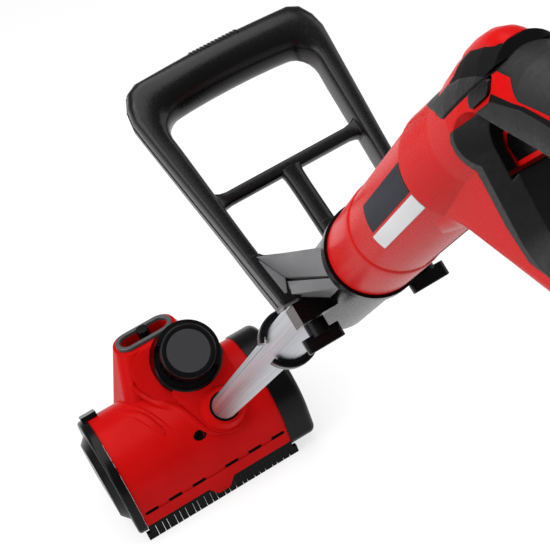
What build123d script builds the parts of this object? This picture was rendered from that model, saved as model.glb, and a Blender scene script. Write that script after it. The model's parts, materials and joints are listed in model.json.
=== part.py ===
"""Battery patio cleaner: a driven roller brush head on a telescopic tube with a front and a rear handle.

Millimetres, +X to the tool's right, +Y forward, +Z up. The origin lies on the floor, straight below the
brush axis, in the middle plane of the tube. Along the tube, lengths are counted from the brush axis.
"""
import os
from math import cos, radians, sin

from build123d import *

# Brush and floor
BRUSH_R = 57.5
BRUSH_END_GAP = 4.0
BRUSH_DRIVE_GAP = 10.0
CORE_R = 22.0
BACKING = 3.0
STRAND_R = 1.9
STRAND_ROWS = 11
STRAND_RINGS = 34
STRAND_TWIST = 7.0
AXLE_R = 6.0
BEARING_R = 13.0
BEARING_WIDTH = 6.0

# Fits
RUN = 0.05
SLIDE = 0.08
SEAT = 0.1
GAP = 0.4

# Hood over the brush
HOOD_R = 78.0
HOOD_WALL = 3.0
HOOD_LEFT = -150.0
HOOD_RIGHT = 60.0
DRIVE_WALL = 6.0
LIP_Z = 24.5
FRONT_LIP_Z = 44.0
SLOT_LENGTH = 18.5
SLOT_HEIGHT = 5.5
SLOT_RISE = 20.3
SLOT_PITCH = 33.9
SLOT_SPLIT = 47.3
SLOT_RECESS = 1.0
TAB_WIDTH = 38.0
TAB_FOOT = 17.0
TAB_DROP = 14.5
TAB_SHIFT = 1.8
SCREW_X = -42.0
SCREW_ACROSS = -15.0
SCREW_FLOOR = 70.0
SCREW_BOSS = 7.0
SCREW_BOSS_R = 8.0

# End plate, drive cover and skirt
PLATE_R = 80.0
PLATE_THICK = 12.0
PLATE_Z = 13.0
PLATE_CORNER = 15.0
BULGE_R = 62.0
BULGE_RISE = 9.0
TONGUE_REACH = 15.0
TONGUE_RISE = 6.0
TONGUE_WIDTH = 26.0
TONGUE_TURN = 58.0
COVER_RIGHT = 97.0
COVER_WALL = 2.4
COVER_ROUND = 9.0
SKIRT_THICK = 3.0
SKIRT_TOP = 50.0
SKIRT_FLOOR_GAP = 0.8
SKIRT_OVERRUN = 5.0
SLIT = 0.9
SLITS = 23
SLIT_TOP = 19.0
SLIT_STRAY = 1.2

# Drive
MOTOR_X = -8.0
MOTOR_RISE = 78.0
CAN_R = 24.0
CAN_LOW = 44.0
CAN_HIGH = 98.0
MOTOR_SHAFT_R = 2.5
FAN_R = 21.0
FAN_LOW = 104.0
FAN_HIGH = 112.0
FAN_BLADES = 8
FAN_PLATE = 1.6
SHAFT_SEAT = 10.0
AXLE_OVERRUN = 2.0
SHAFT_OVERRUN = 2.0
GEARBOX_LEFT = -32.0
GEARBOX_RIGHT = 16.0
GEARBOX_LOW = -8.0
GEARBOX_BOTTOM = 61.0
GEARBOX_TOP = 98.0
SHAFT_RISE = 67.0
SHAFT_R = 4.0
SHAFT_BEARING_R = 7.5
PULLEY_LEFT = 66.0
PULLEY_WIDTH = 12.0
DRIVE_PULLEY_R = 8.0
BRUSH_PULLEY_R = 24.0
BELT_THICK = 1.4

# Motor tower
TOWER_TOP_Z = 186.0
TOWER_BASE_Z = 96.0
TOWER_BASE_LEFT = -112.0
TOWER_BASE_RIGHT = 44.0
TOWER_TOP_LEFT = -79.0
TOWER_TOP_RIGHT = 7.0
TOWER_BASE_BACK = -12.0
TOWER_BASE_FRONT = 80.0
TOWER_TOP_BACK = 33.0
TOWER_TOP_FRONT = 78.0
BACK_END = 70.0
BACK_LEFT = (-42.0, 80.0)
BACK_LEFT_R = 35.0
BACK_RIGHT = (6.0, 64.0)
BACK_RIGHT_R = 33.0
BRIDGE_END = 84.0
BRIDGE_RISE = 40.0
BRIDGE_LEFT = -14.0
BRIDGE_RIGHT = 6.0
MOUTH_R = 45.0
MOUTH_FLOOR = 60.0
CAP_R = 34.0
CAP_WALL = 2.5
CAP_END = 128.0
CAP_FACE_R = 27.0
CAP_GROOVE = 1.6
VENTS = 4
VENT_FROM = 175.0
VENT_SPREAD = 70.0
VENT_WIDTH = 7.0
VENT_LOW = 84.0
VENT_LENGTH = 28.0
COLLAR_R = 40.0
COLLAR_LOW = 64.5
COLLAR_END = 118.0
COLLAR_FROM = -53.0
COLLAR_TO = 139.0
BEZEL_RISE = 5.0
BEZEL_WIDTH = 6.0
SLOT_OPEN_LENGTH = 66.0
SLOT_OPEN_WIDTH = 22.0
SLOT_MID = (-36.0, 56.0)
SLOT_DEPTH = 24.0
KNOB_R = 8.0
KNOB_RISE = 10.0

# Tube and telescope
TUBE_LEAN = 45.0
TUBE_R = 16.0
TUBE_WALL = 1.5
TUBE_SEAT = 66.0
SOCKET_END = 100.0
SOCKET_WALL = 7.0
SOCKET_BASE_WALL = 17.0
TUBE_END = 750.0
GROOVE_WIDTH = 1.4
GROOVE_DEEP = 0.7
GROOVE_TURN = 154.0
UPPER_WALL = 1.2
BUSH_WALL = 0.8
UPPER_TUBE_LOW = 630.0
UPPER_TUBE_END = 1012.0
PLUG_LENGTH = 18.0
PLUG_SPIGOT = 12.0
PLUG_HOLE_R = 6.0
BUSH_LENGTH = 24.0
BAND_LOW = 632.0
BAND_WIDTH = 14.0
BAND_WALL = 2.8
BAND_OPEN = 62.0
LUG_RISE = 3.5
LUG_WIDTH = 5.2
PIN_R = 1.3
PIN_OVERRUN = 3.0

# Front handle
CLAMP_LOW = 853.0
CLAMP_END = 964.0
CLAMP_WALL = 8.6
CLAMP_SPLIT = 0.6
HANDLE_AT = 925.0
HANDLE_LEAN = 9.0
FRAME_THICK = 26.0
FRAME_ROUND = 3.5
FRAME_TOP = 170.0
FRAME_TOP_HALF = 59.0
FRAME_SHOULDER = 150.0
FRAME_SHOULDER_HALF = 70.0
FRAME_FOOT_HALF = 53.0
GRIP_R = 16.0
GRIP_HALF = 40.0
GRIP_END_HALF = 57.0
GRIP_END_R = 12.5
GRIP_RIBS = 9
RIB_PITCH = 3.6
RIB_WIDTH = 1.6
RIB_RISE = 0.8
RIB_SPREAD = 50.0
WINDOW_TOP_HALF = 53.5
WINDOW_FOOT_HALF = 48.0
CROSSBAR_AT = 77.0
CROSSBAR_HEIGHT = 8.0
CROSSBAR_THICK = 9.0
STRUT_WIDTH = 12.5
STRUT_THICK = 11.0
BRACKET_MID = 12.0
BRACKET_EDGE = 33.0
INSET_DEEP = 1.2
WING_X = 38.0
WING_AT = 918.0
BOLT_R = 3.0
BOLT_TOP = 16.0
LUG_LOW = -14.0
LUG_END = 47.0
LUG_LENGTH = 26.0
BOLT_LOW = -30.0
HUB_R = 7.5
HUB_LOW = -24.0
WING_LENGTH = 28.0
WING_THICK = 10.0
WING_LOW = -34.0

# Rear handle, with heights and places of the loop as the tool stands
RING_LOW = 966.0
RING_END = 978.0
RING_WALL = 10.8
BARREL_WALL = 7.4
BARREL_STEP = 1002.0
BARREL_STEP_RISE = 0.8
SHOULDER_AT = 1155.0
SHOULDER_RISE = 0.7
NECK_AT = 1195.0
NECK_R = 24.2
BEND_R = 70.0
BEND_STEPS = 5
ARM_R = 19.8
ARM_MID = 941.0
HANDLE_HALF = 19.5
HANDLE_ROUND = 10.0
FLARE_FROM = 1122.0
FLARE_TO = 1165.0
FLARE_HALF = 12.0
SKIN = 2.5
ARM_UNDER = 930.0
LOOP_FLOOR = 857.0
OPENING_FLOOR = 881.0
OPENING_FRONT = -866.0
OPENING_BACK = -996.0
OPENING_EDGE = 9.0
OPENING_FLARE = 38.0
LOOP_BACK = -1030.0
SPINE_HALF = 15.0
SPINE_FROM = 1203.0
SPINE_TO = 1262.0
SPINE_RISE = 6.5
RIDGE_R = 16.0
SPINE_DEPTH = 10.0
BAY_END = 1150.0
SCOOP_AT = (-865.0, 911.0)
SCOOP_R = 18.0
SCOOP_LEFT = -13.0
TRIGGER_HALF = 7.0
TRIGGER_RIM = 2.0
TRIGGER_PIN = (-869.0, 941.0)
TRIGGER_PIN_R = 2.0
TRIGGER_PIN_HALF = 14.0
SPRING_R = 3.4
SPRING_HALF = 4.0
LOCK_AT = (1250.5, 5.6)
LOCK_LENGTH = 13.0
LOCK_HEIGHT = 5.6
LOCK_PROUD = 1.2
LOCK_DEEP = 7.0
LOCK_TRAVEL = 2.5
SWITCH_HALF = 9.0
SWITCH_FRONT = -913.0
SWITCH_BACK = -945.0
SWITCH_LOW = 938.0
SWITCH_HIGH = 954.0
BOARD_THICK = 1.6
BOARD_LOW = 1035.0
BOARD_HIGH = 1130.0
MOUNT_HALF = 20.0
FLANGE_REACH = 7.0
MOUNT_STEP = 4.0
FLANGE_THICK = 5.0
MOUNT_LOW = 862.0
MOUNT_HIGH = 930.0
BATTERY_SIDE = 10.0
BATTERY_DEEP = 52.0
BATTERY_LOW = 838.0
BATTERY_HIGH = 950.0
BATTERY_GAP = 0.4
RELEASE_WIDTH = 26.0
RELEASE_HEIGHT = 14.0
RELEASE_PROUD = 3.0
SCREW_HEAD_R = 3.4
SCREW_R = 1.8
SCREW_SINK = 8.0
SCREW_REACH = 10.0

BRUSH_LEFT = HOOD_LEFT + BRUSH_END_GAP
BRUSH_RIGHT = HOOD_RIGHT - BRUSH_DRIVE_GAP
TUBE_BORE_R = TUBE_R - TUBE_WALL
SOCKET_R = TUBE_R + SOCKET_WALL
SOCKET_BASE_R = TUBE_R + SOCKET_BASE_WALL
UPPER_BORE_R = TUBE_R + BUSH_WALL
UPPER_TUBE_R = UPPER_BORE_R + UPPER_WALL
CLAMP_R = UPPER_TUBE_R + CLAMP_WALL
RING_R = UPPER_TUBE_R + RING_WALL
BARREL_R = UPPER_TUBE_R + BARREL_WALL
BARREL_STEP_R = BARREL_R + BARREL_STEP_RISE
BAY_R = UPPER_TUBE_R + 2
FLANGE_HALF = MOUNT_HALF + FLANGE_REACH
BATTERY_HALF = FLANGE_HALF + BATTERY_SIDE
ALONG = Vector(0, -cos(radians(TUBE_LEAN)), sin(radians(TUBE_LEAN)))
ACROSS = Vector(0, sin(radians(TUBE_LEAN)), cos(radians(TUBE_LEAN)))
BRUSH_AXIS = Vector(0, 0, BRUSH_R)
TUBE = Plane(origin=BRUSH_AXIS, x_dir=(1, 0, 0), z_dir=ALONG)
MOTOR = Plane(origin=BRUSH_AXIS + ACROSS * MOTOR_RISE + Vector(MOTOR_X, 0, 0), x_dir=(1, 0, 0), z_dir=ALONG)
FRAME_NORMAL = ALONG * cos(radians(HANDLE_LEAN)) + ACROSS * sin(radians(HANDLE_LEAN))
FRAME = Plane(origin=BRUSH_AXIS + ALONG * HANDLE_AT, x_dir=(1, 0, 0), z_dir=FRAME_NORMAL)
ALONG_AXIS = Axis((0, 0, BRUSH_R), ALONG)
ACROSS_AXIS = Axis((0, 0, BRUSH_R), ACROSS)
SHAFT_AXIS = BRUSH_AXIS + ACROSS * SHAFT_RISE


def wall(x):
    """Plane square to the brush axis at x: local x runs forward, local y up."""
    return Plane(origin=(x, 0, 0), x_dir=(0, 1, 0), z_dir=(1, 0, 0))


def at_shaft(x):
    """Plane square to the drive shaft at x, centred on it."""
    return Plane(origin=(x, SHAFT_AXIS.Y, SHAFT_AXIS.Z), x_dir=(0, 1, 0), z_dir=(1, 0, 0))


def at_brush(x):
    """Plane square to the brush axis at x, centred on it."""
    return Plane(origin=(x, 0, BRUSH_R), x_dir=(0, 1, 0), z_dir=(1, 0, 0))


def tube_point(along, across):
    """Forward and up coordinates of a point given along and across the tube."""
    place = BRUSH_AXIS + ALONG * along + ACROSS * across
    return (place.Y, place.Z)


def arch(radius, floor_back, floor_front):
    """Face of an arch about the brush axis, with straight legs down to the two floors."""
    with BuildSketch() as section:
        with BuildLine():
            Line((-radius, floor_back), (-radius, BRUSH_R))
            CenterArc((0, BRUSH_R), radius, 180, -180)
            Line((radius, BRUSH_R), (radius, floor_front))
            Line((radius, floor_front), (-radius, floor_back))
        make_face()
    return section.sketch


def plate_face(radius, floor):
    """Face of an end plate: an arch with its two feet rounded."""
    with BuildSketch() as section:
        add(arch(radius, floor, floor))
        fillet(section.vertices().group_by(Axis.Y)[0], PLATE_CORNER)
    return section.sketch


def outline(points, radius):
    """Face inside a closed polyline with rounded corners; one radius for all, or one for each."""
    with BuildSketch() as section:
        with BuildLine():
            FilletPolyline(*points, radius=radius, close=True)
        make_face()
    return section.sketch


def turned(radius, turn):
    """Point at a radius and an angle in degrees."""
    return (radius * cos(radians(turn)), radius * sin(radians(turn)))


def rod(plane, radius, length, mode=Mode.ADD):
    """Round bar added to, or cut from, the part that is being made."""
    with BuildSketch(plane) as section:
        Circle(radius)
    extrude(section.sketch, amount=length, mode=mode)


def ring(plane, outer, inner, length):
    """Plain ring added to the part that is being made."""
    with BuildSketch(plane) as section:
        Circle(outer)
        Circle(inner, mode=Mode.SUBTRACT)
    extrude(section.sketch, amount=length)


def bore(plane, radius, length):
    """Round hole cut from the part that is being made."""
    rod(plane, radius, length, Mode.SUBTRACT)


os.makedirs("parts", exist_ok=True)

# Hood: an arched shell with a drive wall at its right end and the tube socket at its back
HOOD_LENGTH = HOOD_RIGHT - HOOD_LEFT
HOOD_MID = (HOOD_LEFT + HOOD_RIGHT) / 2
SCREW_AT = BRUSH_AXIS + ACROSS * SCREW_ACROSS + Vector(SCREW_X, 0, 0)
SCREW_PLANE = Plane(origin=SCREW_AT, x_dir=(1, 0, 0), z_dir=ALONG)
PLATE_FACE = HOOD_LEFT - GAP
BACK_WALL = Plane(origin=(HOOD_MID, -HOOD_R, LIP_Z), x_dir=(1, 0, 0), z_dir=(0, -1, 0))
SLOT_PLACES = [side * (SLOT_SPLIT / 2 + k * SLOT_PITCH) for side in (-1, 1) for k in range(3)]


def tab_face(clear):
    """Face of the tab that hangs from the lip, widened by a clearance."""
    top, foot = TAB_WIDTH / 2 + clear, TAB_FOOT / 2 + clear
    with BuildSketch() as section:
        with BuildLine():
            Polyline((TAB_SHIFT - top, 1), (TAB_SHIFT + top, 1), (TAB_SHIFT + foot, -TAB_DROP - clear),
                     (TAB_SHIFT - foot, -TAB_DROP - clear), close=True)
        make_face()
    return section.sketch


with BuildPart() as hood:
    with BuildSketch(wall(HOOD_LEFT)):
        add(arch(HOOD_R, LIP_Z, FRONT_LIP_Z))
        add(arch(HOOD_R - HOOD_WALL, 0, 0), mode=Mode.SUBTRACT)
    extrude(amount=HOOD_LENGTH)
    with BuildSketch(wall(HOOD_RIGHT - DRIVE_WALL)):
        add(arch(HOOD_R - HOOD_WALL, LIP_Z, LIP_Z))
    extrude(amount=DRIVE_WALL)
    bore(TUBE.offset(TUBE_SEAT), TUBE_R + SEAT, SOCKET_END)
    rod(SCREW_PLANE.offset(SCREW_FLOOR - SCREW_BOSS), SCREW_BOSS_R, SCREW_BOSS + HOOD_WALL)
    bore(SCREW_PLANE.offset(SCREW_FLOOR), SCREW_BOSS_R - HOOD_WALL, HOOD_R)
    bore(SCREW_PLANE.offset(SCREW_FLOOR - SCREW_BOSS), SCREW_R + RUN, HOOD_R)
    with BuildSketch(BACK_WALL):
        with Locations(*[(place, SLOT_RISE) for place in SLOT_PLACES]):
            SlotOverall(SLOT_LENGTH, SLOT_HEIGHT)
    extrude(amount=-2 * HOOD_WALL, mode=Mode.SUBTRACT)
    with BuildSketch(BACK_WALL):
        with Locations((0, SLOT_RISE)):
            Rectangle(SLOT_SPLIT + 4 * SLOT_PITCH, SLOT_HEIGHT)
    extrude(amount=-SLOT_RECESS, mode=Mode.SUBTRACT)
    with BuildSketch(BACK_WALL):
        add(tab_face(0))
    extrude(amount=-HOOD_WALL)
    # Window under the gearbox and the motor
    with BuildSketch(TUBE.offset(GEARBOX_LOW - GAP)):
        with Locations(((GEARBOX_LEFT + GEARBOX_RIGHT) / 2, (GEARBOX_BOTTOM + GEARBOX_TOP) / 2)):
            Rectangle(GEARBOX_RIGHT - GEARBOX_LEFT + 2 * GAP, GEARBOX_TOP - GEARBOX_BOTTOM + 2 * GAP)
    extrude(amount=CAN_LOW - GEARBOX_LOW + 2 * GAP, mode=Mode.SUBTRACT)
    bore(MOTOR.offset(CAN_LOW - GAP), CAN_R + GAP, CAN_HIGH)
    bore(MOTOR.offset(MOUTH_FLOOR - SEAT), CAP_R + SEAT, CAN_HIGH)
    # Bearing seats in the drive wall
    bore(at_brush(HOOD_RIGHT - DRIVE_WALL), BEARING_R, DRIVE_WALL)
    bore(at_shaft(HOOD_RIGHT - DRIVE_WALL), SHAFT_BEARING_R, DRIVE_WALL)
hood.part.label = "hood"
export_step(hood.part, "parts/hood.step")

# Motor housing on the hood: a tapered tower, a back face with the motor's mouth, and the tube's socket
with BuildPart() as motor_housing:
    with BuildSketch(Plane.XY.offset(TOWER_BASE_Z)):
        with Locations(((TOWER_BASE_LEFT + TOWER_BASE_RIGHT) / 2, (TOWER_BASE_BACK + TOWER_BASE_FRONT) / 2)):
            RectangleRounded(TOWER_BASE_RIGHT - TOWER_BASE_LEFT, TOWER_BASE_FRONT - TOWER_BASE_BACK, 20)
    with BuildSketch(Plane.XY.offset(TOWER_TOP_Z)):
        with Locations(((TOWER_TOP_LEFT + TOWER_TOP_RIGHT) / 2, (TOWER_TOP_BACK + TOWER_TOP_FRONT) / 2)):
            RectangleRounded(TOWER_TOP_RIGHT - TOWER_TOP_LEFT, TOWER_TOP_FRONT - TOWER_TOP_BACK, 20)
    loft()
    with BuildSketch(TUBE):
        with BuildLine():
            CenterArc((0, 0), SOCKET_BASE_R, 0, 360)
            CenterArc(BACK_LEFT, BACK_LEFT_R, 0, 360)
            CenterArc(BACK_RIGHT, BACK_RIGHT_R, 0, 360)
        make_hull()
    extrude(amount=BACK_END)
    with BuildSketch(TUBE):
        with BuildLine():
            CenterArc((0, 0), SOCKET_BASE_R - 2, 0, 360)
            CenterArc((BRIDGE_LEFT, BRIDGE_RISE), SOCKET_BASE_R - 2, 0, 360)
            CenterArc((BRIDGE_RIGHT, BRIDGE_RISE), SOCKET_BASE_R - 2, 0, 360)
        make_hull()
    extrude(amount=BRIDGE_END)
    with BuildSketch(TUBE.offset(BACK_END)):
        Circle(SOCKET_BASE_R)
    with BuildSketch(TUBE.offset(SOCKET_END)):
        Circle(SOCKET_R)
    loft()
    with BuildSketch(Plane.XY.offset(TOWER_TOP_Z)):
        Rectangle(4 * HOOD_R, 4 * HOOD_R)
    extrude(amount=HOOD_R, mode=Mode.SUBTRACT)
    bore(at_brush(HOOD_LEFT), HOOD_R + SEAT, HOOD_LENGTH)
    bore(TUBE.offset(TUBE_SEAT), TUBE_R + SEAT, SOCKET_END)
    bore(MOTOR.offset(CAN_LOW), CAN_R + GAP, CAN_HIGH)
    bore(MOTOR.offset(MOUTH_FLOOR), MOUTH_R, CAN_HIGH)
    with BuildSketch(TUBE.offset(GEARBOX_LOW - GAP)):
        with Locations(((GEARBOX_LEFT + GEARBOX_RIGHT) / 2, (GEARBOX_BOTTOM + GEARBOX_TOP) / 2)):
            Rectangle(GEARBOX_RIGHT - GEARBOX_LEFT + 2 * GAP, GEARBOX_TOP - GEARBOX_BOTTOM + 2 * GAP)
    extrude(amount=CAN_LOW - GEARBOX_LOW + 2 * GAP, mode=Mode.SUBTRACT)
    with BuildSketch(Plane.XY.offset(TOWER_TOP_Z)):
        with Locations(SLOT_MID):
            SlotOverall(SLOT_OPEN_LENGTH, SLOT_OPEN_WIDTH)
    extrude(amount=-SLOT_DEPTH, mode=Mode.SUBTRACT)
motor_housing.part.label = "motor_housing"
export_step(motor_housing.part, "parts/motor_housing.step")

with BuildPart() as hood_screw:
    rod(SCREW_PLANE.offset(SCREW_FLOOR), SCREW_HEAD_R, SCREW_HEAD_R)
    rod(SCREW_PLANE.offset(SCREW_FLOOR), SCREW_R, SEAT - SCREW_BOSS)
hood_screw.part.label = "hood_screw"
export_step(hood_screw.part, "parts/hood_screw.step")

# Left end plate: closes the hood, holds the left brush bearing and latches over the hood
with BuildPart() as end_plate:
    with BuildSketch(wall(PLATE_FACE)):
        add(plate_face(PLATE_R, PLATE_Z))
    extrude(amount=-PLATE_THICK)
    fillet(end_plate.faces().sort_by(Axis.X)[0].edges(), PLATE_THICK / 3)
    with BuildSketch(at_brush(PLATE_FACE - PLATE_THICK)):
        Circle(BULGE_R)
        with Locations((0, -BULGE_R - BULGE_R / 2)):
            Rectangle(2 * BULGE_R, 2 * BULGE_R, mode=Mode.SUBTRACT)
    extrude(amount=-BULGE_RISE, taper=45)
    with BuildSketch(at_brush(PLATE_FACE - PLATE_THICK / 2)):
        with PolarLocations(HOOD_R + GAP + TONGUE_RISE / 2, 1, TONGUE_TURN):
            Rectangle(TONGUE_RISE, TONGUE_WIDTH)
    extrude(amount=PLATE_THICK / 2 + TONGUE_REACH)
    bore(at_brush(PLATE_FACE), BEARING_R, -BEARING_WIDTH)
    bore(at_brush(PLATE_FACE), AXLE_R + 1, -BEARING_WIDTH - AXLE_OVERRUN - GAP)
end_plate.part.label = "end_plate"
export_step(end_plate.part, "parts/end_plate.step")

# Right drive cover: a hollow cap over the belt drive
with BuildPart() as drive_cover:
    with BuildSketch(wall(HOOD_RIGHT)):
        add(plate_face(PLATE_R, PLATE_Z))
    extrude(amount=COVER_RIGHT - HOOD_RIGHT)
    fillet(drive_cover.faces().sort_by(Axis.X)[-1].edges(), COVER_ROUND)
    with BuildSketch(wall(HOOD_RIGHT)):
        add(plate_face(PLATE_R - COVER_WALL, PLATE_Z + COVER_WALL))
    extrude(amount=COVER_RIGHT - HOOD_RIGHT - COVER_ROUND, mode=Mode.SUBTRACT)
    with BuildSketch(wall(HOOD_RIGHT)):
        add(plate_face(PLATE_R - COVER_ROUND, PLATE_Z + COVER_ROUND))
    extrude(amount=COVER_RIGHT - HOOD_RIGHT - COVER_WALL, mode=Mode.SUBTRACT)
drive_cover.part.label = "drive_cover"
export_step(drive_cover.part, "parts/drive_cover.step")

# Rear skirt: a rubber strip behind the lip, slit into lamellae
SKIRT_LEFT = HOOD_LEFT + GAP
SKIRT_RIGHT = HOOD_RIGHT - GAP
SKIRT_WALL = Plane(origin=(0, HOOD_WALL - HOOD_R, 0), x_dir=(1, 0, 0), z_dir=(0, -1, 0))
SLIT_PITCH = (SKIRT_RIGHT - SKIRT_LEFT) / (SLITS + 1)
SLIT_PLACES = [SKIRT_LEFT + (k + 1) * SLIT_PITCH + SLIT_STRAY * sin(2.4 * k) for k in range(SLITS)]
SKIRT_FOOT_TOP = PLATE_Z - 1


def skirt_face(upper):
    """Outline of a layer of the skirt: a foot that overruns both ends, then the given upper points."""
    with BuildSketch() as face:
        with BuildLine():
            Polyline((SKIRT_LEFT - SKIRT_OVERRUN, SKIRT_FLOOR_GAP),
                     (SKIRT_RIGHT + SKIRT_OVERRUN, SKIRT_FLOOR_GAP),
                     (SKIRT_RIGHT + SKIRT_OVERRUN, SKIRT_FOOT_TOP), (SKIRT_RIGHT, SKIRT_FOOT_TOP), *upper,
                     (SKIRT_LEFT, SKIRT_FOOT_TOP), (SKIRT_LEFT - SKIRT_OVERRUN, SKIRT_FOOT_TOP), close=True)
        make_face()
    return face.sketch


SKIRT_STEP_X = HOOD_RIGHT - DRIVE_WALL - GAP
SKIRT_LIP_Z = LIP_Z - GAP
with BuildPart() as rear_skirt:
    with BuildSketch(SKIRT_WALL):
        add(skirt_face([(SKIRT_RIGHT, SKIRT_LIP_Z), (SKIRT_STEP_X, SKIRT_LIP_Z), (SKIRT_STEP_X, SKIRT_TOP),
                        (SKIRT_LEFT, SKIRT_TOP)]))
    extrude(amount=-SKIRT_THICK)
    with BuildSketch(SKIRT_WALL):
        add(skirt_face([(SKIRT_RIGHT, SKIRT_LIP_Z), (SKIRT_LEFT, SKIRT_LIP_Z)]))
    extrude(amount=HOOD_WALL - GAP)
    with BuildSketch(BACK_WALL):
        add(tab_face(GAP))
    extrude(amount=-HOOD_WALL, mode=Mode.SUBTRACT)
    with BuildSketch(SKIRT_WALL.offset(HOOD_WALL)):
        with Locations(*[(place, SLIT_TOP / 2) for place in SLIT_PLACES]):
            Rectangle(SLIT, SLIT_TOP)
    extrude(amount=-2 * HOOD_WALL - SKIRT_THICK, mode=Mode.SUBTRACT)
rear_skirt.part.label = "rear_skirt"
export_step(rear_skirt.part, "parts/rear_skirt.step")

# Motor, its shaft and fan, and the angle gearbox below it
with BuildPart() as motor_can:
    rod(MOTOR.offset(CAN_LOW), CAN_R, CAN_HIGH - CAN_LOW)
    fillet(motor_can.edges().filter_by(GeomType.CIRCLE), 2)
    bore(MOTOR.offset(CAN_HIGH), MOTOR_SHAFT_R + RUN, -SHAFT_SEAT)
motor_can.part.label = "motor_can"
export_step(motor_can.part, "parts/motor_can.step")

with BuildPart() as motor_shaft:
    rod(MOTOR.offset(CAN_HIGH - SHAFT_SEAT + GAP), MOTOR_SHAFT_R, FAN_HIGH + SHAFT_SEAT - CAN_HIGH)
motor_shaft.part.label = "motor_shaft"
export_step(motor_shaft.part, "parts/motor_shaft.step")

with BuildPart() as cooling_fan:
    rod(MOTOR.offset(FAN_LOW), 3 * MOTOR_SHAFT_R, FAN_HIGH - FAN_LOW)
    rod(MOTOR.offset(FAN_LOW), FAN_R, FAN_PLATE)
    with BuildSketch(MOTOR.offset(FAN_LOW)):
        with PolarLocations(FAN_R / 2 + MOTOR_SHAFT_R, FAN_BLADES):
            Rectangle(FAN_R - 2 * MOTOR_SHAFT_R, FAN_PLATE)
    extrude(amount=FAN_HIGH - FAN_LOW)
    bore(MOTOR.offset(FAN_LOW), MOTOR_SHAFT_R, FAN_HIGH - FAN_LOW)
cooling_fan.part.label = "cooling_fan"
export_step(cooling_fan.part, "parts/cooling_fan.step")

with BuildPart() as gearbox:
    with BuildSketch(TUBE.offset(GEARBOX_LOW)):
        with Locations(((GEARBOX_LEFT + GEARBOX_RIGHT) / 2, (GEARBOX_BOTTOM + GEARBOX_TOP) / 2)):
            RectangleRounded(GEARBOX_RIGHT - GEARBOX_LEFT, GEARBOX_TOP - GEARBOX_BOTTOM, 5)
    extrude(amount=CAN_LOW - GEARBOX_LOW)
    bore(at_shaft(GEARBOX_RIGHT), SHAFT_R + RUN, -SHAFT_SEAT - GAP)
gearbox.part.label = "gearbox"
export_step(gearbox.part, "parts/gearbox.step")

# Belt drive from the gearbox's cross shaft to the brush
with BuildPart() as drive_shaft:
    shaft_from = GEARBOX_RIGHT - SHAFT_SEAT
    rod(at_shaft(shaft_from), SHAFT_R, PULLEY_LEFT + PULLEY_WIDTH + SHAFT_OVERRUN - shaft_from)
drive_shaft.part.label = "drive_shaft"
export_step(drive_shaft.part, "parts/drive_shaft.step")

with BuildPart() as shaft_bearing:
    ring(at_shaft(HOOD_RIGHT - DRIVE_WALL), SHAFT_BEARING_R, SHAFT_R + RUN, DRIVE_WALL)
shaft_bearing.part.label = "shaft_bearing"
export_step(shaft_bearing.part, "parts/shaft_bearing.step")

with BuildPart() as drive_pulley:
    ring(at_shaft(PULLEY_LEFT), DRIVE_PULLEY_R, SHAFT_R, PULLEY_WIDTH)
drive_pulley.part.label = "drive_pulley"
export_step(drive_pulley.part, "parts/drive_pulley.step")


def belt_loop(drive_r, brush_r):
    """Face inside a belt line round the two pulleys."""
    with BuildSketch() as section:
        with BuildLine():
            CenterArc((SHAFT_AXIS.Y, SHAFT_AXIS.Z), drive_r, 0, 360)
            CenterArc((0, BRUSH_R), brush_r, 0, 360)
        make_hull()
    return section.sketch


with BuildPart() as drive_belt:
    with BuildSketch(wall(PULLEY_LEFT + 1)):
        add(belt_loop(DRIVE_PULLEY_R + GAP + BELT_THICK, BRUSH_PULLEY_R + GAP + BELT_THICK))
        add(belt_loop(DRIVE_PULLEY_R + GAP, BRUSH_PULLEY_R + GAP), mode=Mode.SUBTRACT)
    extrude(amount=PULLEY_WIDTH - 2)
drive_belt.part.label = "drive_belt"
export_step(drive_belt.part, "parts/drive_belt.step")

with BuildPart() as brush_pulley:
    ring(at_brush(PULLEY_LEFT), BRUSH_PULLEY_R, AXLE_R, PULLEY_WIDTH)
brush_pulley.part.label = "brush_pulley"
export_step(brush_pulley.part, "parts/brush_pulley.step")

# Brush: axle, core, bristles and the two bearings
with BuildPart() as brush_axle:
    rod(at_brush(PLATE_FACE - BEARING_WIDTH - AXLE_OVERRUN), AXLE_R,
        PULLEY_LEFT + PULLEY_WIDTH + 2 - PLATE_FACE + BEARING_WIDTH + AXLE_OVERRUN)
brush_axle.part.label = "brush_axle"
export_step(brush_axle.part, "parts/brush_axle.step")

with BuildPart() as brush_core:
    ring(at_brush(BRUSH_LEFT), CORE_R, AXLE_R, BRUSH_RIGHT - BRUSH_LEFT)
brush_core.part.label = "brush_core"
export_step(brush_core.part, "parts/brush_core.step")

with BuildPart() as strand:
    with BuildSketch(Plane.XY.offset(CORE_R + BACKING / 2)):
        RegularPolygon(STRAND_R, 3)
    extrude(amount=BRUSH_R - CORE_R - BACKING / 2 - SKIRT_FLOOR_GAP / 4)

RING_PITCH = (BRUSH_RIGHT - BRUSH_LEFT) / STRAND_RINGS
STRAND_PLACES = [
    Location((BRUSH_LEFT + (k + 0.5) * RING_PITCH, 0, BRUSH_R),
             (row * 360 / STRAND_ROWS + k * STRAND_TWIST, 0, 0))
    for k in range(STRAND_RINGS)
    for row in range(STRAND_ROWS)
]
with BuildPart() as bristles:
    ring(at_brush(BRUSH_LEFT), CORE_R + BACKING, CORE_R, BRUSH_RIGHT - BRUSH_LEFT)
    with Locations(*STRAND_PLACES):
        add(strand.part)
bristles.part.label = "bristles"
export_step(bristles.part, "parts/bristles.step")

with BuildPart() as left_bearing:
    ring(at_brush(PLATE_FACE - BEARING_WIDTH), BEARING_R, AXLE_R + RUN, BEARING_WIDTH)
left_bearing.part.label = "left_bearing"
export_step(left_bearing.part, "parts/left_bearing.step")

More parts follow.
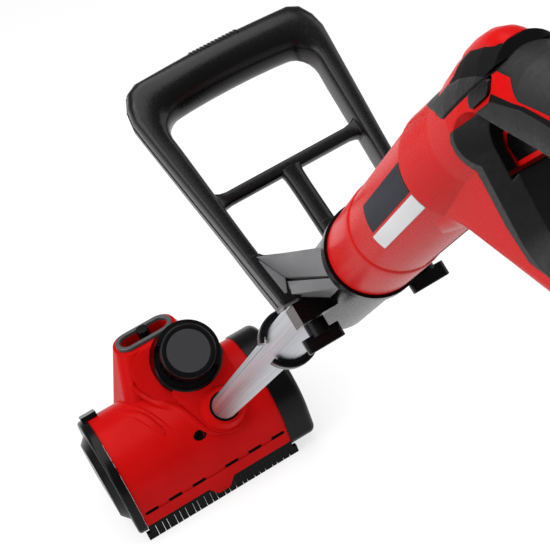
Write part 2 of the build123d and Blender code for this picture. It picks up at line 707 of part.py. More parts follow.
with BuildPart() as right_bearing:
    ring(at_brush(HOOD_RIGHT - DRIVE_WALL), BEARING_R, AXLE_R + RUN, DRIVE_WALL)
right_bearing.part.label = "right_bearing"
export_step(right_bearing.part, "parts/right_bearing.step")

# Motor cap with side vents, the C-shaped collar, and the slot with its bezel and knob
with BuildPart() as motor_cap:
    rod(MOTOR.offset(MOUTH_FLOOR), CAP_R, CAP_END - MOUTH_FLOOR)
    fillet(motor_cap.edges().sort_by(ALONG_AXIS)[-1], CAP_WALL)
    bore(MOTOR.offset(MOUTH_FLOOR), CAP_R - CAP_WALL, CAP_END - MOUTH_FLOOR - 2 * CAP_WALL)
    with BuildSketch(MOTOR.offset(CAP_END)):
        Circle(CAP_FACE_R + CAP_GROOVE)
        Circle(CAP_FACE_R, mode=Mode.SUBTRACT)
    extrude(amount=-CAP_GROOVE / 2, mode=Mode.SUBTRACT)
    with BuildSketch(MOTOR.offset(VENT_LOW)):
        with PolarLocations(CAP_R, VENTS, VENT_FROM, VENT_SPREAD):
            Rectangle(4 * CAP_WALL, VENT_WIDTH)
    extrude(amount=VENT_LENGTH, mode=Mode.SUBTRACT)
motor_cap.part.label = "motor_cap"
export_step(motor_cap.part, "parts/motor_cap.step")


with BuildPart() as motor_collar:
    with BuildSketch(MOTOR.offset(COLLAR_LOW)):
        Circle(COLLAR_R)
        Circle(CAP_R + GAP, mode=Mode.SUBTRACT)
        with BuildLine():
            Polyline((0, 0), turned(3 * COLLAR_R, COLLAR_TO),
                     turned(3 * COLLAR_R, (COLLAR_TO + COLLAR_FROM) / 2 + 180),
                     turned(3 * COLLAR_R, COLLAR_FROM), close=True)
        make_face(mode=Mode.SUBTRACT)
    extrude(amount=COLLAR_END - COLLAR_LOW)
motor_collar.part.label = "motor_collar"
export_step(motor_collar.part, "parts/motor_collar.step")

with BuildPart() as slot_bezel:
    with BuildSketch(Plane.XY.offset(TOWER_TOP_Z)):
        with Locations(SLOT_MID):
            SlotOverall(SLOT_OPEN_LENGTH + 2 * BEZEL_WIDTH, SLOT_OPEN_WIDTH + 2 * BEZEL_WIDTH)
            SlotOverall(SLOT_OPEN_LENGTH, SLOT_OPEN_WIDTH, mode=Mode.SUBTRACT)
    extrude(amount=BEZEL_RISE)
    fillet(slot_bezel.faces().sort_by(Axis.Z)[-1].edges(), BEZEL_RISE / 3)
slot_bezel.part.label = "slot_bezel"
export_step(slot_bezel.part, "parts/slot_bezel.step")

with BuildPart() as selector_knob:
    with BuildSketch(Plane.XY.offset(TOWER_TOP_Z - SLOT_DEPTH + GAP)):
        with Locations(SLOT_MID):
            Circle(KNOB_R)
        with Locations(SLOT_MID):
            with PolarLocations(KNOB_R, 10):
                Circle(KNOB_R / 8, mode=Mode.SUBTRACT)
    extrude(amount=SLOT_DEPTH - GAP + KNOB_RISE)
selector_knob.part.label = "selector_knob"
export_step(selector_knob.part, "parts/selector_knob.step")

# Telescopic tube: the lower tube slides in the upper one on a plug and a bush
with BuildPart() as lower_tube:
    ring(TUBE.offset(TUBE_SEAT), TUBE_R, TUBE_BORE_R, TUBE_END - TUBE_SEAT)
    with BuildSketch(TUBE.offset(SOCKET_END)):
        with PolarLocations(TUBE_R, 1, GROOVE_TURN):
            Rectangle(2 * GROOVE_DEEP, GROOVE_WIDTH)
    extrude(amount=TUBE_END - SOCKET_END, mode=Mode.SUBTRACT)
lower_tube.part.label = "lower_tube"
export_step(lower_tube.part, "parts/lower_tube.step")

with BuildPart() as tube_plug:
    rod(TUBE.offset(TUBE_END), UPPER_BORE_R - SLIDE, PLUG_LENGTH)
    rod(TUBE.offset(TUBE_END), TUBE_BORE_R - SLIDE, -PLUG_SPIGOT)
    bore(TUBE.offset(TUBE_END - PLUG_SPIGOT), PLUG_HOLE_R, PLUG_SPIGOT + PLUG_LENGTH)
tube_plug.part.label = "tube_plug"
export_step(tube_plug.part, "parts/tube_plug.step")

with BuildPart() as upper_tube:
    ring(TUBE.offset(UPPER_TUBE_LOW), UPPER_TUBE_R, UPPER_BORE_R, UPPER_TUBE_END - UPPER_TUBE_LOW)
upper_tube.part.label = "upper_tube"
export_step(upper_tube.part, "parts/upper_tube.step")

with BuildPart() as guide_bush:
    ring(TUBE.offset(UPPER_TUBE_LOW), UPPER_BORE_R - RUN, TUBE_R + SLIDE, BUSH_LENGTH)
guide_bush.part.label = "guide_bush"
export_step(guide_bush.part, "parts/guide_bush.step")

# Open clamp band round the telescope's joint, with a pin in each end
LUG_MID = UPPER_TUBE_R + SEAT + (BAND_WALL + LUG_RISE) / 2
LUG_TURNS = [180 + side * (BAND_OPEN / 2 + 8) for side in (-1, 1)]
with BuildPart() as clamp_band:
    with BuildSketch(TUBE.offset(BAND_LOW)):
        Circle(UPPER_TUBE_R + BAND_WALL)
        with BuildLine():
            Polyline((0, 0), turned(3 * UPPER_TUBE_R, 180 - BAND_OPEN / 2),
                     turned(3 * UPPER_TUBE_R, 180 + BAND_OPEN / 2), close=True)
        make_face(mode=Mode.SUBTRACT)
        for turn in LUG_TURNS:
            with PolarLocations(LUG_MID, 1, turn):
                Rectangle(BAND_WALL + LUG_RISE, LUG_WIDTH)
        Circle(UPPER_TUBE_R + SEAT, mode=Mode.SUBTRACT)
        for turn in LUG_TURNS:
            with PolarLocations(LUG_MID, 1, turn):
                Circle(PIN_R + RUN, mode=Mode.SUBTRACT)
    extrude(amount=BAND_WIDTH)
clamp_band.part.label = "clamp_band"
export_step(clamp_band.part, "parts/clamp_band.step")

with BuildPart() as clamp_pins:
    with BuildSketch(TUBE.offset(BAND_LOW - PIN_OVERRUN)):
        for turn in LUG_TURNS:
            with PolarLocations(LUG_MID, 1, turn):
                Circle(PIN_R)
    extrude(amount=BAND_WIDTH + 2 * PIN_OVERRUN)
clamp_pins.part.label = "clamp_pins"
export_step(clamp_pins.part, "parts/clamp_pins.step")


def at_bolt(x, height):
    """Plane square to a clamp bolt, at a height across the tube."""
    middle = BRUSH_AXIS + ALONG * WING_AT + ACROSS * height + Vector(x, 0, 0)
    return Plane(origin=middle, x_dir=(1, 0, 0), z_dir=ACROSS)


# Front handle: a D-shaped frame in two half shells, clamped to the tube by a saddle and two wing screws
FRAME_UP = FRAME.y_dir
GRIP_UNDER = FRAME_TOP - 2 * GRIP_R


def across_frame(x, height):
    """Plane square to the frame's grip at x, at a height up the frame."""
    return Plane(origin=FRAME.origin + FRAME_UP * height + Vector(x, 0, 0), x_dir=FRAME_UP, z_dir=(1, 0, 0))


with BuildPart() as frame:
    with BuildSketch(FRAME):
        add(outline([(-FRAME_FOOT_HALF, -FRAME_ROUND), (FRAME_FOOT_HALF, -FRAME_ROUND),
                     (FRAME_SHOULDER_HALF, FRAME_SHOULDER), (FRAME_TOP_HALF, FRAME_TOP),
                     (-FRAME_TOP_HALF, FRAME_TOP), (-FRAME_SHOULDER_HALF, FRAME_SHOULDER)],
                    [6, 6, 8, 8, 8, 8]))
        add(outline([(0, BRACKET_MID), (WINDOW_FOOT_HALF, BRACKET_EDGE), (WINDOW_TOP_HALF, GRIP_UNDER),
                     (-WINDOW_TOP_HALF, GRIP_UNDER), (-WINDOW_FOOT_HALF, BRACKET_EDGE)], [2, 6, 12, 12, 6]),
            mode=Mode.SUBTRACT)
    extrude(amount=FRAME_THICK / 2, both=True)
    fillet(frame.faces().filter_by(Axis((0, 0, 0), FRAME_NORMAL)).edges(), FRAME_ROUND)
    # Grip: a thick bar with drawn-in ends and a ribbed crest
    for x, radius in ((-GRIP_END_HALF, GRIP_END_R), (-GRIP_HALF, GRIP_R),
                      (GRIP_HALF, GRIP_R), (GRIP_END_HALF, GRIP_END_R)):
        with BuildSketch(across_frame(x, FRAME_TOP - GRIP_R)):
            Circle(radius)
    loft(ruled=True)
    for k in range(GRIP_RIBS):
        rib_from = (k - (GRIP_RIBS - 1) / 2) * RIB_PITCH - RIB_WIDTH / 2
        with BuildSketch(across_frame(rib_from, FRAME_TOP - GRIP_R)):
            with BuildLine():
                Line((0, 0), turned(GRIP_R + RIB_RISE, -RIB_SPREAD))
                CenterArc((0, 0), GRIP_R + RIB_RISE, -RIB_SPREAD, 2 * RIB_SPREAD)
                Line(turned(GRIP_R + RIB_RISE, RIB_SPREAD), (0, 0))
            make_face()
        extrude(amount=RIB_WIDTH)
    # Crossbar and strut
    with BuildSketch(across_frame(-WINDOW_FOOT_HALF - FRAME_ROUND, CROSSBAR_AT)):
        RectangleRounded(CROSSBAR_HEIGHT, CROSSBAR_THICK, 2)
    extrude(amount=2 * WINDOW_FOOT_HALF + 2 * FRAME_ROUND)
    with BuildSketch(Plane(origin=FRAME.origin + FRAME_UP * BRACKET_MID, x_dir=(1, 0, 0), z_dir=FRAME_UP)):
        RectangleRounded(STRUT_WIDTH, STRUT_THICK, 4)
    extrude(amount=CROSSBAR_AT - BRACKET_MID)
    rod(TUBE.offset(CLAMP_LOW), CLAMP_R, CLAMP_END - CLAMP_LOW)
    with BuildSketch(TUBE.offset(CLAMP_LOW - FRAME_THICK)):
        with Locations((0, CLAMP_SPLIT - FRAME_THICK)):
            Rectangle(4 * FRAME_FOOT_HALF, 2 * FRAME_THICK)
    extrude(amount=CLAMP_END - CLAMP_LOW + 2 * FRAME_THICK, mode=Mode.SUBTRACT)
    bore(TUBE.offset(CLAMP_LOW), UPPER_TUBE_R + GAP, CLAMP_END - CLAMP_LOW)
    # Sunk panels on the bracket
    for side in (-1, 1):
        with BuildSketch(FRAME.offset(FRAME_THICK / 2)):
            add(outline([(side * (FRAME_FOOT_HALF - 8), 5), (side * (FRAME_FOOT_HALF - 10), 15),
                         (side * CLAMP_R, 6), (side * CLAMP_R, 5)], 0.4))
        extrude(amount=-INSET_DEEP, mode=Mode.SUBTRACT)
    for x in (-WING_X, WING_X):
        bore(at_bolt(x, 0), BOLT_R + SEAT, BOLT_TOP + SEAT)

with BuildPart() as front_handle_fore:
    add(frame.part)
    split(bisect_by=FRAME, keep=Keep.BOTTOM)
front_handle_fore.part.label = "front_handle_fore"
export_step(front_handle_fore.part, "parts/front_handle_fore.step")

with BuildPart() as front_handle_aft:
    add(frame.part)
    split(bisect_by=FRAME, keep=Keep.TOP)
front_handle_aft.part.label = "front_handle_aft"
export_step(front_handle_aft.part, "parts/front_handle_aft.step")

with BuildPart() as clamp_saddle:
    rod(TUBE.offset(CLAMP_LOW), CLAMP_R, CLAMP_END - CLAMP_LOW)
    with BuildSketch(TUBE.offset(WING_AT - LUG_LENGTH / 2)):
        with Locations((0, LUG_LOW / 2)):
            Rectangle(2 * LUG_END, -LUG_LOW)
    extrude(amount=LUG_LENGTH)
    with BuildSketch(TUBE.offset(CLAMP_LOW)):
        with Locations((0, FRAME_THICK - CLAMP_SPLIT)):
            Rectangle(4 * FRAME_FOOT_HALF, 2 * FRAME_THICK)
    extrude(amount=CLAMP_END - CLAMP_LOW, mode=Mode.SUBTRACT)
    bore(TUBE.offset(CLAMP_LOW), UPPER_TUBE_R + GAP, CLAMP_END - CLAMP_LOW)
    for x in (-WING_X, WING_X):
        bore(at_bolt(x, 0), BOLT_R + SEAT, 2 * LUG_LOW)
clamp_saddle.part.label = "clamp_saddle"
export_step(clamp_saddle.part, "parts/clamp_saddle.step")

with BuildPart() as clamp_bolts:
    for x in (-WING_X, WING_X):
        rod(at_bolt(x, BOLT_LOW), BOLT_R, BOLT_TOP - BOLT_LOW)
clamp_bolts.part.label = "clamp_bolts"
export_step(clamp_bolts.part, "parts/clamp_bolts.step")

for name, x in (("wing_knob_left", -WING_X), ("wing_knob_right", WING_X)):
    with BuildPart() as wing_knob:
        with BuildSketch(at_bolt(x, WING_LOW)):
            RectangleRounded(WING_LENGTH, WING_THICK, WING_THICK / 3)
        extrude(amount=HUB_LOW + 2 - WING_LOW)
        fillet(wing_knob.faces().sort_by(ACROSS_AXIS)[0].edges(), 1)
        rod(at_bolt(x, HUB_LOW), HUB_R, LUG_LOW - GAP - HUB_LOW)
        bore(at_bolt(x, BOLT_LOW - GAP), BOLT_R + RUN, LUG_LOW - BOLT_LOW)
    wing_knob.part.label = name
    export_step(wing_knob.part, f"parts/{name}.step")

# Rear handle: a barrel on the tube that opens into a loop, with soft grips let into its skin
with BuildPart() as bumper_ring:
    ring(TUBE.offset(RING_LOW), RING_R, UPPER_TUBE_R + SEAT, RING_END - RING_LOW)
    fillet(bumper_ring.faces().sort_by(ALONG_AXIS)[0].edges().sort_by(SortBy.RADIUS)[-1], 3)
bumper_ring.part.label = "bumper_ring"
export_step(bumper_ring.part, "parts/bumper_ring.step")

BEND_AT = (ARM_MID - BRUSH_R) / sin(radians(TUBE_LEAN))
BEND_LENGTH = BEND_R * sin(radians(TUBE_LEAN / 2)) / cos(radians(TUBE_LEAN / 2))
BEND_HUB = BRUSH_AXIS + ALONG * (BEND_AT - BEND_LENGTH) - ACROSS * BEND_R
BACK_OVER = LOOP_BACK - 2 * HANDLE_ROUND
LOOP = [tube_point(FLARE_FROM, HANDLE_ROUND), tube_point(BEND_AT, HANDLE_ROUND),
        (BACK_OVER, ARM_MID + HANDLE_ROUND), (BACK_OVER, LOOP_FLOOR), tube_point(1160, -28),
        tube_point(FLARE_FROM, -23)]
LOOP_ROUND = [2, 40, 18, 18, 20, 2]
OPENING = [(OPENING_FRONT, ARM_UNDER), (OPENING_BACK, ARM_UNDER), (OPENING_BACK, OPENING_FLOOR),
           (-899, OPENING_FLOOR)]
OPENING_ROUND = [9, 18, 16, 16]


def bend_plane(turn):
    """Plane square to the handle's spine where it has turned from the tube towards the level."""
    lean = radians(90 - TUBE_LEAN + turn)
    return Plane(origin=BEND_HUB + Vector(0, cos(lean), sin(lean)) * BEND_R, x_dir=(1, 0, 0),
                 z_dir=(0, -sin(lean), cos(lean)))


def arm_plane(y):
    """Plane square to the level arm at y."""
    return Plane(origin=(0, y, ARM_MID), x_dir=(1, 0, 0), z_dir=(0, -1, 0))


SPINE_RINGS = [(TUBE.offset(SHOULDER_AT), BARREL_STEP_R + SHOULDER_RISE), (TUBE.offset(NECK_AT), NECK_R)]
for k in range(BEND_STEPS + 1):
    SPINE_RINGS.append((bend_plane(TUBE_LEAN * k / BEND_STEPS), NECK_R + (ARM_R - NECK_R) * k / BEND_STEPS))
SPINE_RINGS.append((arm_plane(BACK_OVER), ARM_R))


def handle_body(inset):
    """Outer form of the handle behind the barrel, drawn in all round by an inset."""
    with BuildPart() as body:
        with BuildSketch(wall(0)):
            add(outline(LOOP, LOOP_ROUND))
            if inset:
                offset(amount=-inset)
        extrude(amount=HANDLE_HALF - inset, both=True)
        fillet(body.faces().filter_by(Axis.X).edges(), HANDLE_ROUND - inset)
        with BuildSketch(Plane(origin=BRUSH_AXIS, x_dir=(1, 0, 0), z_dir=ACROSS)):
            with BuildLine():
                Polyline((-FLARE_HALF, -FLARE_FROM), (FLARE_HALF, -FLARE_FROM),
                         (2 * HANDLE_HALF, -FLARE_TO - BARREL_R), (2 * HANDLE_HALF, LOOP_BACK * 2),
                         (-2 * HANDLE_HALF, LOOP_BACK * 2),
                         (-2 * HANDLE_HALF, -FLARE_TO - BARREL_R), close=True)
            make_face()
        extrude(amount=2 * LOOP_BACK, both=True, mode=Mode.INTERSECT)
        for plane, radius in SPINE_RINGS:
            with BuildSketch(plane):
                Circle(radius - inset)
        loft(ruled=True)
        with BuildSketch() as opening:
            add(outline(OPENING, OPENING_ROUND))
            if inset:
                offset(amount=inset)
        with BuildSketch(wall(0)):
            add(opening.sketch)
        extrude(amount=2 * HANDLE_HALF, both=True, mode=Mode.SUBTRACT)
        for side in (-1, 1):
            with BuildSketch(wall(side * (HANDLE_HALF - OPENING_EDGE - inset))):
                add(opening.sketch)
            extrude(amount=side * 2 * OPENING_EDGE, taper=-OPENING_FLARE, mode=Mode.SUBTRACT)
        split(bisect_by=arm_plane(LOOP_BACK + max(inset, 0)), keep=Keep.BOTTOM)
    return body.part


OUTER = handle_body(0)
CORE = handle_body(SKIN)
with BuildPart() as block:
    add(OUTER)
    rod(TUBE.offset(BARREL_STEP), BARREL_STEP_R, SHOULDER_AT - BARREL_STEP + 1)
    rod(TUBE.offset(RING_END), BARREL_R, BARREL_STEP - RING_END)

# Outlines of the soft grips on the sides of the handle
ARM_TOP = ARM_MID + 2 * ARM_R
UPPER_GRIP = [tube_point(1182, 60), tube_point(1182, 23), tube_point(1206, 15), tube_point(1216, 9.5),
              (-882, 953.5), (-893.5, 955), (-902.5, 951), (-920, 952), (OPENING_BACK - 12, 952),
              (OPENING_BACK - 12, ARM_TOP), (-880, ARM_TOP)]
LOWER_GRIP = [(-861, 922), (-860, 917), (-862, 911), (-872, 897), (-881, 884), (-893, 873),
              (OPENING_BACK - 12, 873), (OPENING_BACK - 12, 949), (-904, 949), (-888, 946)]
SPINE = Plane(origin=BRUSH_AXIS + ACROSS * SPINE_DEPTH, x_dir=(1, 0, 0), z_dir=ACROSS)
TRIGGER = [(-866, 944.6), (-863, 941.5), (-863, 936), (-884, 933), (-871, 918), (-870, 911),
           (-877, 904), (-896, 920), (-905, 934), (-905, 944)]
POCKET = [(-858, 925), (-910, 925), (-910, 952), (-873, 948.5), (-866, 945.5), (-858, 939)]
LOCK_PLACE = tube_point(*LOCK_AT)


def lock_plane(x):
    """Plane beside the handle at x, turned along the tube and centred on the lock button."""
    return Plane(origin=(x, *LOCK_PLACE), x_dir=ALONG, z_dir=(-1, 0, 0))


def spine_column(mode):
    """Column over the crest of the bend, rounded at its lower end, that bounds the red spine."""
    with BuildSketch(SPINE) as section:
        with Locations((0, -(SPINE_FROM + SPINE_TO) / 2)):
            RectangleRounded(2 * SPINE_HALF, SPINE_TO - SPINE_FROM, SPINE_HALF / 2)
    extrude(section.sketch, amount=2 * NECK_R, mode=mode)


def open_prism(points, half):
    """Straight prism through the handle with the given outline, cut from the part that is being made."""
    with BuildSketch(wall(0)) as section:
        with BuildLine():
            Polyline(*points, close=True)
        make_face()
    extrude(section.sketch, amount=half, both=True, mode=Mode.SUBTRACT)


with BuildPart() as upper_grip:
    with BuildSketch(wall(0)):
        with BuildLine():
            Polyline(*UPPER_GRIP, close=True)
        make_face()
    extrude(amount=2 * HANDLE_HALF, both=True)
    add(OUTER, mode=Mode.INTERSECT)
    add(CORE, mode=Mode.SUBTRACT)
    spine_column(Mode.SUBTRACT)
upper_grip.part.label = "upper_grip"
export_step(upper_grip.part, "parts/upper_grip.step")

with BuildPart() as lower_grip:
    with BuildSketch(wall(0)):
        with BuildLine():
            Polyline(*LOWER_GRIP, close=True)
        make_face()
    extrude(amount=2 * HANDLE_HALF, both=True)
    add(OUTER, mode=Mode.INTERSECT)
    add(CORE, mode=Mode.SUBTRACT)
    open_prism(POCKET, TRIGGER_HALF + 2 * GAP)
    with BuildSketch(wall(SCOOP_LEFT)):
        with Locations(SCOOP_AT):
            Circle(SCOOP_R)
    extrude(amount=2 * HANDLE_HALF, mode=Mode.SUBTRACT)
lower_grip.part.label = "lower_grip"
export_step(lower_grip.part, "parts/lower_grip.step")

SCREW_PLACES = [tube_point(1020, 21), tube_point(1020, -21), tube_point(1172, -18), (-950, 946),
                (-1012, 950), (-1012, 870)]
with BuildPart() as ridge:
    for k, (plane, radius) in enumerate(SPINE_RINGS):
        rise = SPINE_RISE * min(1, k / (BEND_STEPS + 2))
        with BuildSketch(plane):
            with Locations((0, radius + rise - RIDGE_R)):
                Circle(RIDGE_R)
    loft(ruled=True)

with BuildPart() as crest:
    spine_column(Mode.ADD)
    add(ridge.part, mode=Mode.INTERSECT)

with BuildPart() as shell:
    add(block.part)
    add(crest.part)
    add(upper_grip.part, mode=Mode.SUBTRACT)
    add(lower_grip.part, mode=Mode.SUBTRACT)
    bore(TUBE.offset(RING_END), UPPER_TUBE_R + SEAT, UPPER_TUBE_END - RING_END)
    bore(TUBE.offset(UPPER_TUBE_END), BAY_R, BAY_END - UPPER_TUBE_END)
    open_prism(POCKET, TRIGGER_HALF + 2 * GAP)
    with BuildSketch(wall(SCOOP_LEFT)):
        with Locations(SCOOP_AT):
            Circle(SCOOP_R)
    extrude(amount=2 * HANDLE_HALF, mode=Mode.SUBTRACT)
    with BuildSketch(wall(0)):
        with Locations(TRIGGER_PIN):
            Circle(TRIGGER_PIN_R + SEAT)
    extrude(amount=TRIGGER_PIN_HALF + SEAT, both=True, mode=Mode.SUBTRACT)
    with BuildSketch(wall(0)):
        with Locations(((SWITCH_FRONT + SWITCH_BACK) / 2, (SWITCH_LOW + SWITCH_HIGH) / 2)):
            Rectangle(SWITCH_FRONT - SWITCH_BACK + 2 * SEAT, SWITCH_HIGH - SWITCH_LOW + 2 * SEAT)
    extrude(amount=SWITCH_HALF + SEAT, both=True, mode=Mode.SUBTRACT)
    with BuildSketch(lock_plane(-HANDLE_HALF + LOCK_DEEP)):
        RectangleRounded(LOCK_LENGTH + 2 * GAP, LOCK_HEIGHT + 2 * GAP, 2)
    extrude(amount=2 * LOCK_DEEP, mode=Mode.SUBTRACT)
    with BuildSketch(wall(SCREW_SINK)):
        with Locations(*SCREW_PLACES):
            Circle(SCREW_HEAD_R + SEAT)
    extrude(amount=2 * HANDLE_HALF, mode=Mode.SUBTRACT)
    with BuildSketch(wall(-SCREW_REACH)):
        with Locations(*SCREW_PLACES):
            Circle(SCREW_R + RUN)
    extrude(amount=2 * HANDLE_HALF, mode=Mode.SUBTRACT)

for name, side in (("handle_shell_left", Keep.BOTTOM), ("handle_shell_right", Keep.TOP)):
    with BuildPart() as half_shell:
        add(shell.part)
        split(bisect_by=wall(0), keep=side)
    half_shell.part.label = name
    export_step(half_shell.part, f"parts/{name}.step")

with BuildPart() as handle_screws:
    with BuildSketch(wall(SCREW_SINK)):
        with Locations(*SCREW_PLACES):
            Circle(SCREW_HEAD_R)
    extrude(amount=SCREW_HEAD_R)
    with BuildSketch(wall(SCREW_SINK)):
        with Locations(*SCREW_PLACES):
            Circle(SCREW_R)
    extrude(amount=-SCREW_SINK - SCREW_REACH + SEAT)
handle_screws.part.label = "handle_screws"
export_step(handle_screws.part, "parts/handle_screws.step")

# Trigger with its red rim, pin and spring, the switch behind it, the lock button and the control board
with BuildPart() as trigger:
    with BuildSketch(wall(0)):
        add(outline(TRIGGER, 2))
    extrude(amount=TRIGGER_HALF, both=True)
    with BuildSketch(wall(0)):
        with Locations(TRIGGER_PIN):
            Circle(TRIGGER_PIN_R + RUN)
    extrude(amount=TRIGGER_HALF, both=True, mode=Mode.SUBTRACT)
    with BuildSketch(wall(0)):
        with Locations(TRIGGER_PIN):
            Rectangle(3 * SPRING_R, 2 * SPRING_R + 2)
    extrude(amount=SPRING_HALF + GAP, both=True, mode=Mode.SUBTRACT)
    with BuildSketch(wall(0)):
        add(outline(TRIGGER, 2))
        offset(amount=-TRIGGER_RIM, mode=Mode.SUBTRACT)
        with Locations((TRIGGER_PIN[0], TRIGGER_PIN[1])):
            Rectangle(100, 20, mode=Mode.SUBTRACT)
    extrude(amount=TRIGGER_HALF + GAP, both=True, mode=Mode.SUBTRACT)
trigger.part.label = "trigger"
export_step(trigger.part, "parts/trigger.step")

with BuildPart() as trigger_rim:
    with BuildSketch(wall(0)):
        add(outline(TRIGGER, 2))
        offset(amount=-TRIGGER_RIM, mode=Mode.SUBTRACT)
        with Locations((TRIGGER_PIN[0], TRIGGER_PIN[1])):
            Rectangle(100, 20, mode=Mode.SUBTRACT)
    extrude(amount=TRIGGER_HALF + GAP, both=True)
trigger_rim.part.label = "trigger_rim"
export_step(trigger_rim.part, "parts/trigger_rim.step")

with BuildPart() as trigger_pin:
    with BuildSketch(wall(0)):
        with Locations(TRIGGER_PIN):
            Circle(TRIGGER_PIN_R)
    extrude(amount=TRIGGER_PIN_HALF, both=True)
trigger_pin.part.label = "trigger_pin"
export_step(trigger_pin.part, "parts/trigger_pin.step")

with BuildPart() as trigger_spring:
    with BuildSketch(wall(0)):
        with Locations(TRIGGER_PIN):
            Circle(SPRING_R)
            Circle(TRIGGER_PIN_R + SEAT, mode=Mode.SUBTRACT)
    extrude(amount=SPRING_HALF, both=True)
trigger_spring.part.label = "trigger_spring"
export_step(trigger_spring.part, "parts/trigger_spring.step")

with BuildPart() as power_switch:
    with BuildSketch(wall(0)):
        with Locations(((SWITCH_FRONT + SWITCH_BACK) / 2, (SWITCH_LOW + SWITCH_HIGH) / 2)):
            Rectangle(SWITCH_FRONT - SWITCH_BACK, SWITCH_HIGH - SWITCH_LOW)
    extrude(amount=SWITCH_HALF, both=True)
power_switch.part.label = "power_switch"
export_step(power_switch.part, "parts/power_switch.step")

with BuildPart() as lock_button:
    with BuildSketch(lock_plane(-HANDLE_HALF + LOCK_DEEP - LOCK_TRAVEL - GAP)):
        RectangleRounded(LOCK_LENGTH, LOCK_HEIGHT, 2)
    extrude(amount=2 * LOCK_DEEP)
    add(handle_body(-LOCK_PROUD), mode=Mode.INTERSECT)
lock_button.part.label = "lock_button"
export_step(lock_button.part, "parts/lock_button.step")

with BuildPart() as control_board:
    with BuildSketch(TUBE.offset(BOARD_LOW)):
        Rectangle(2 * BAY_R - 2 * SEAT, BOARD_THICK)
    extrude(amount=BOARD_HIGH - BOARD_LOW)
control_board.part.label = "control_board"
export_step(control_board.part, "parts/control_board.step")

# Battery on a T-shaped rail at the back of the loop
def rail_section(clear):
    """Top view of the rail, widened by a clearance."""
    with BuildSketch() as section:
        with Locations((0, LOOP_BACK - MOUNT_STEP / 2)):
            Rectangle(2 * MOUNT_HALF + 2 * clear, MOUNT_STEP + 2 * clear)
        with Locations((0, LOOP_BACK - MOUNT_STEP - FLANGE_THICK / 2)):
            Rectangle(2 * FLANGE_HALF + 2 * clear, FLANGE_THICK + 2 * clear)
    return section.sketch


with BuildPart() as battery_rail:
    with BuildSketch(Plane.XY.offset(MOUNT_LOW)):
        add(rail_section(0))
    extrude(amount=MOUNT_HIGH - MOUNT_LOW)
battery_rail.part.label = "battery_rail"
export_step(battery_rail.part, "parts/battery_rail.step")

BATTERY_FRONT = LOOP_BACK - MOUNT_STEP + 2
BATTERY_BACK = LOOP_BACK - BATTERY_DEEP


def release_plane(out):
    """Plane on the battery's back, or proud of it, centred on the release button."""
    middle = (0, BATTERY_BACK - out, BATTERY_HIGH - 2 * RELEASE_HEIGHT)
    return Plane(origin=middle, x_dir=(1, 0, 0), z_dir=(0, -1, 0))


with BuildPart() as battery_pack:
    with BuildSketch(Plane.XY.offset(BATTERY_LOW)):
        with Locations((0, (BATTERY_FRONT + BATTERY_BACK) / 2)):
            RectangleRounded(2 * BATTERY_HALF, BATTERY_FRONT - BATTERY_BACK, 7)
    extrude(amount=BATTERY_HIGH - BATTERY_LOW)
    level = battery_pack.faces().sort_by(Axis.Z)
    fillet(level[-1].edges() + level[0].edges(), 3)
    with BuildSketch(Plane.XY.offset(BATTERY_LOW)):
        add(rail_section(BATTERY_GAP))
    extrude(amount=MOUNT_HIGH + BATTERY_GAP - BATTERY_LOW, mode=Mode.SUBTRACT)
    with BuildSketch(release_plane(0)):
        RectangleRounded(RELEASE_WIDTH + 2 * GAP, RELEASE_HEIGHT + 2 * GAP, 3)
    extrude(amount=-3 * RELEASE_PROUD, mode=Mode.SUBTRACT)
battery_pack.part.label = "battery_pack"
export_step(battery_pack.part, "parts/battery_pack.step")

with BuildPart() as battery_release:
    with BuildSketch(release_plane(RELEASE_PROUD / 2)):
        RectangleRounded(RELEASE_WIDTH, RELEASE_HEIGHT, 3)
    extrude(amount=-2 * RELEASE_PROUD)
battery_release.part.label = "battery_release"
export_step(battery_release.part, "parts/battery_release.step")
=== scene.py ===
import json
import math
import random

import bmesh
import bpy
from mathutils import Matrix, Vector


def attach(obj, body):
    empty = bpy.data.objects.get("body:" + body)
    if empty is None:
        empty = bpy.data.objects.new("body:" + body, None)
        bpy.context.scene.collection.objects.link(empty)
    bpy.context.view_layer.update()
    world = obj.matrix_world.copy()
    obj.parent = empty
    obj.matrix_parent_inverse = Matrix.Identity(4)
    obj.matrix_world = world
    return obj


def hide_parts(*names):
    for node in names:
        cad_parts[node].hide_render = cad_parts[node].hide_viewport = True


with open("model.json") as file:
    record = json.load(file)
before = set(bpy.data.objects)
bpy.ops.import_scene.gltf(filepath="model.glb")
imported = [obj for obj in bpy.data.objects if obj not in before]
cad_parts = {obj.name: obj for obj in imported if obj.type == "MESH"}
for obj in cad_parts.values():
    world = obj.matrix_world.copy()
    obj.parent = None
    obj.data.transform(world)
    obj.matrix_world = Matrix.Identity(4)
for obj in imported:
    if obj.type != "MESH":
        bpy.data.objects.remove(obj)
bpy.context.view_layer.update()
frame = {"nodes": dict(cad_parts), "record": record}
nodes = frame["nodes"]
scene = bpy.context.scene
scene.view_settings.view_transform = "Standard"
random.seed(41)

# The object's own directions and places: sizes are in millimetres, and MM turns them to metres
MM = 0.001
AXLE_HEIGHT = 57.5
BRUSH_AXIS = Vector((0, 0, AXLE_HEIGHT * MM))
ALONG = Vector((0, -1, 1)).normalized()
ACROSS = Vector((0, 1, 1)).normalized()
SIDE = Vector((1, 0, 0))
HANDLE_ALONG = 925
HANDLE_LEAN = math.radians(9)
FRAME_UP = ACROSS * math.cos(HANDLE_LEAN) - ALONG * math.sin(HANDLE_LEAN)
FRAME_OUT = ALONG * math.cos(HANDLE_LEAN) + ACROSS * math.sin(HANDLE_LEAN)
FRAME_AT = BRUSH_AXIS + ALONG * HANDLE_ALONG * MM
MOTOR_X = -8
MOTOR_ACROSS = 78


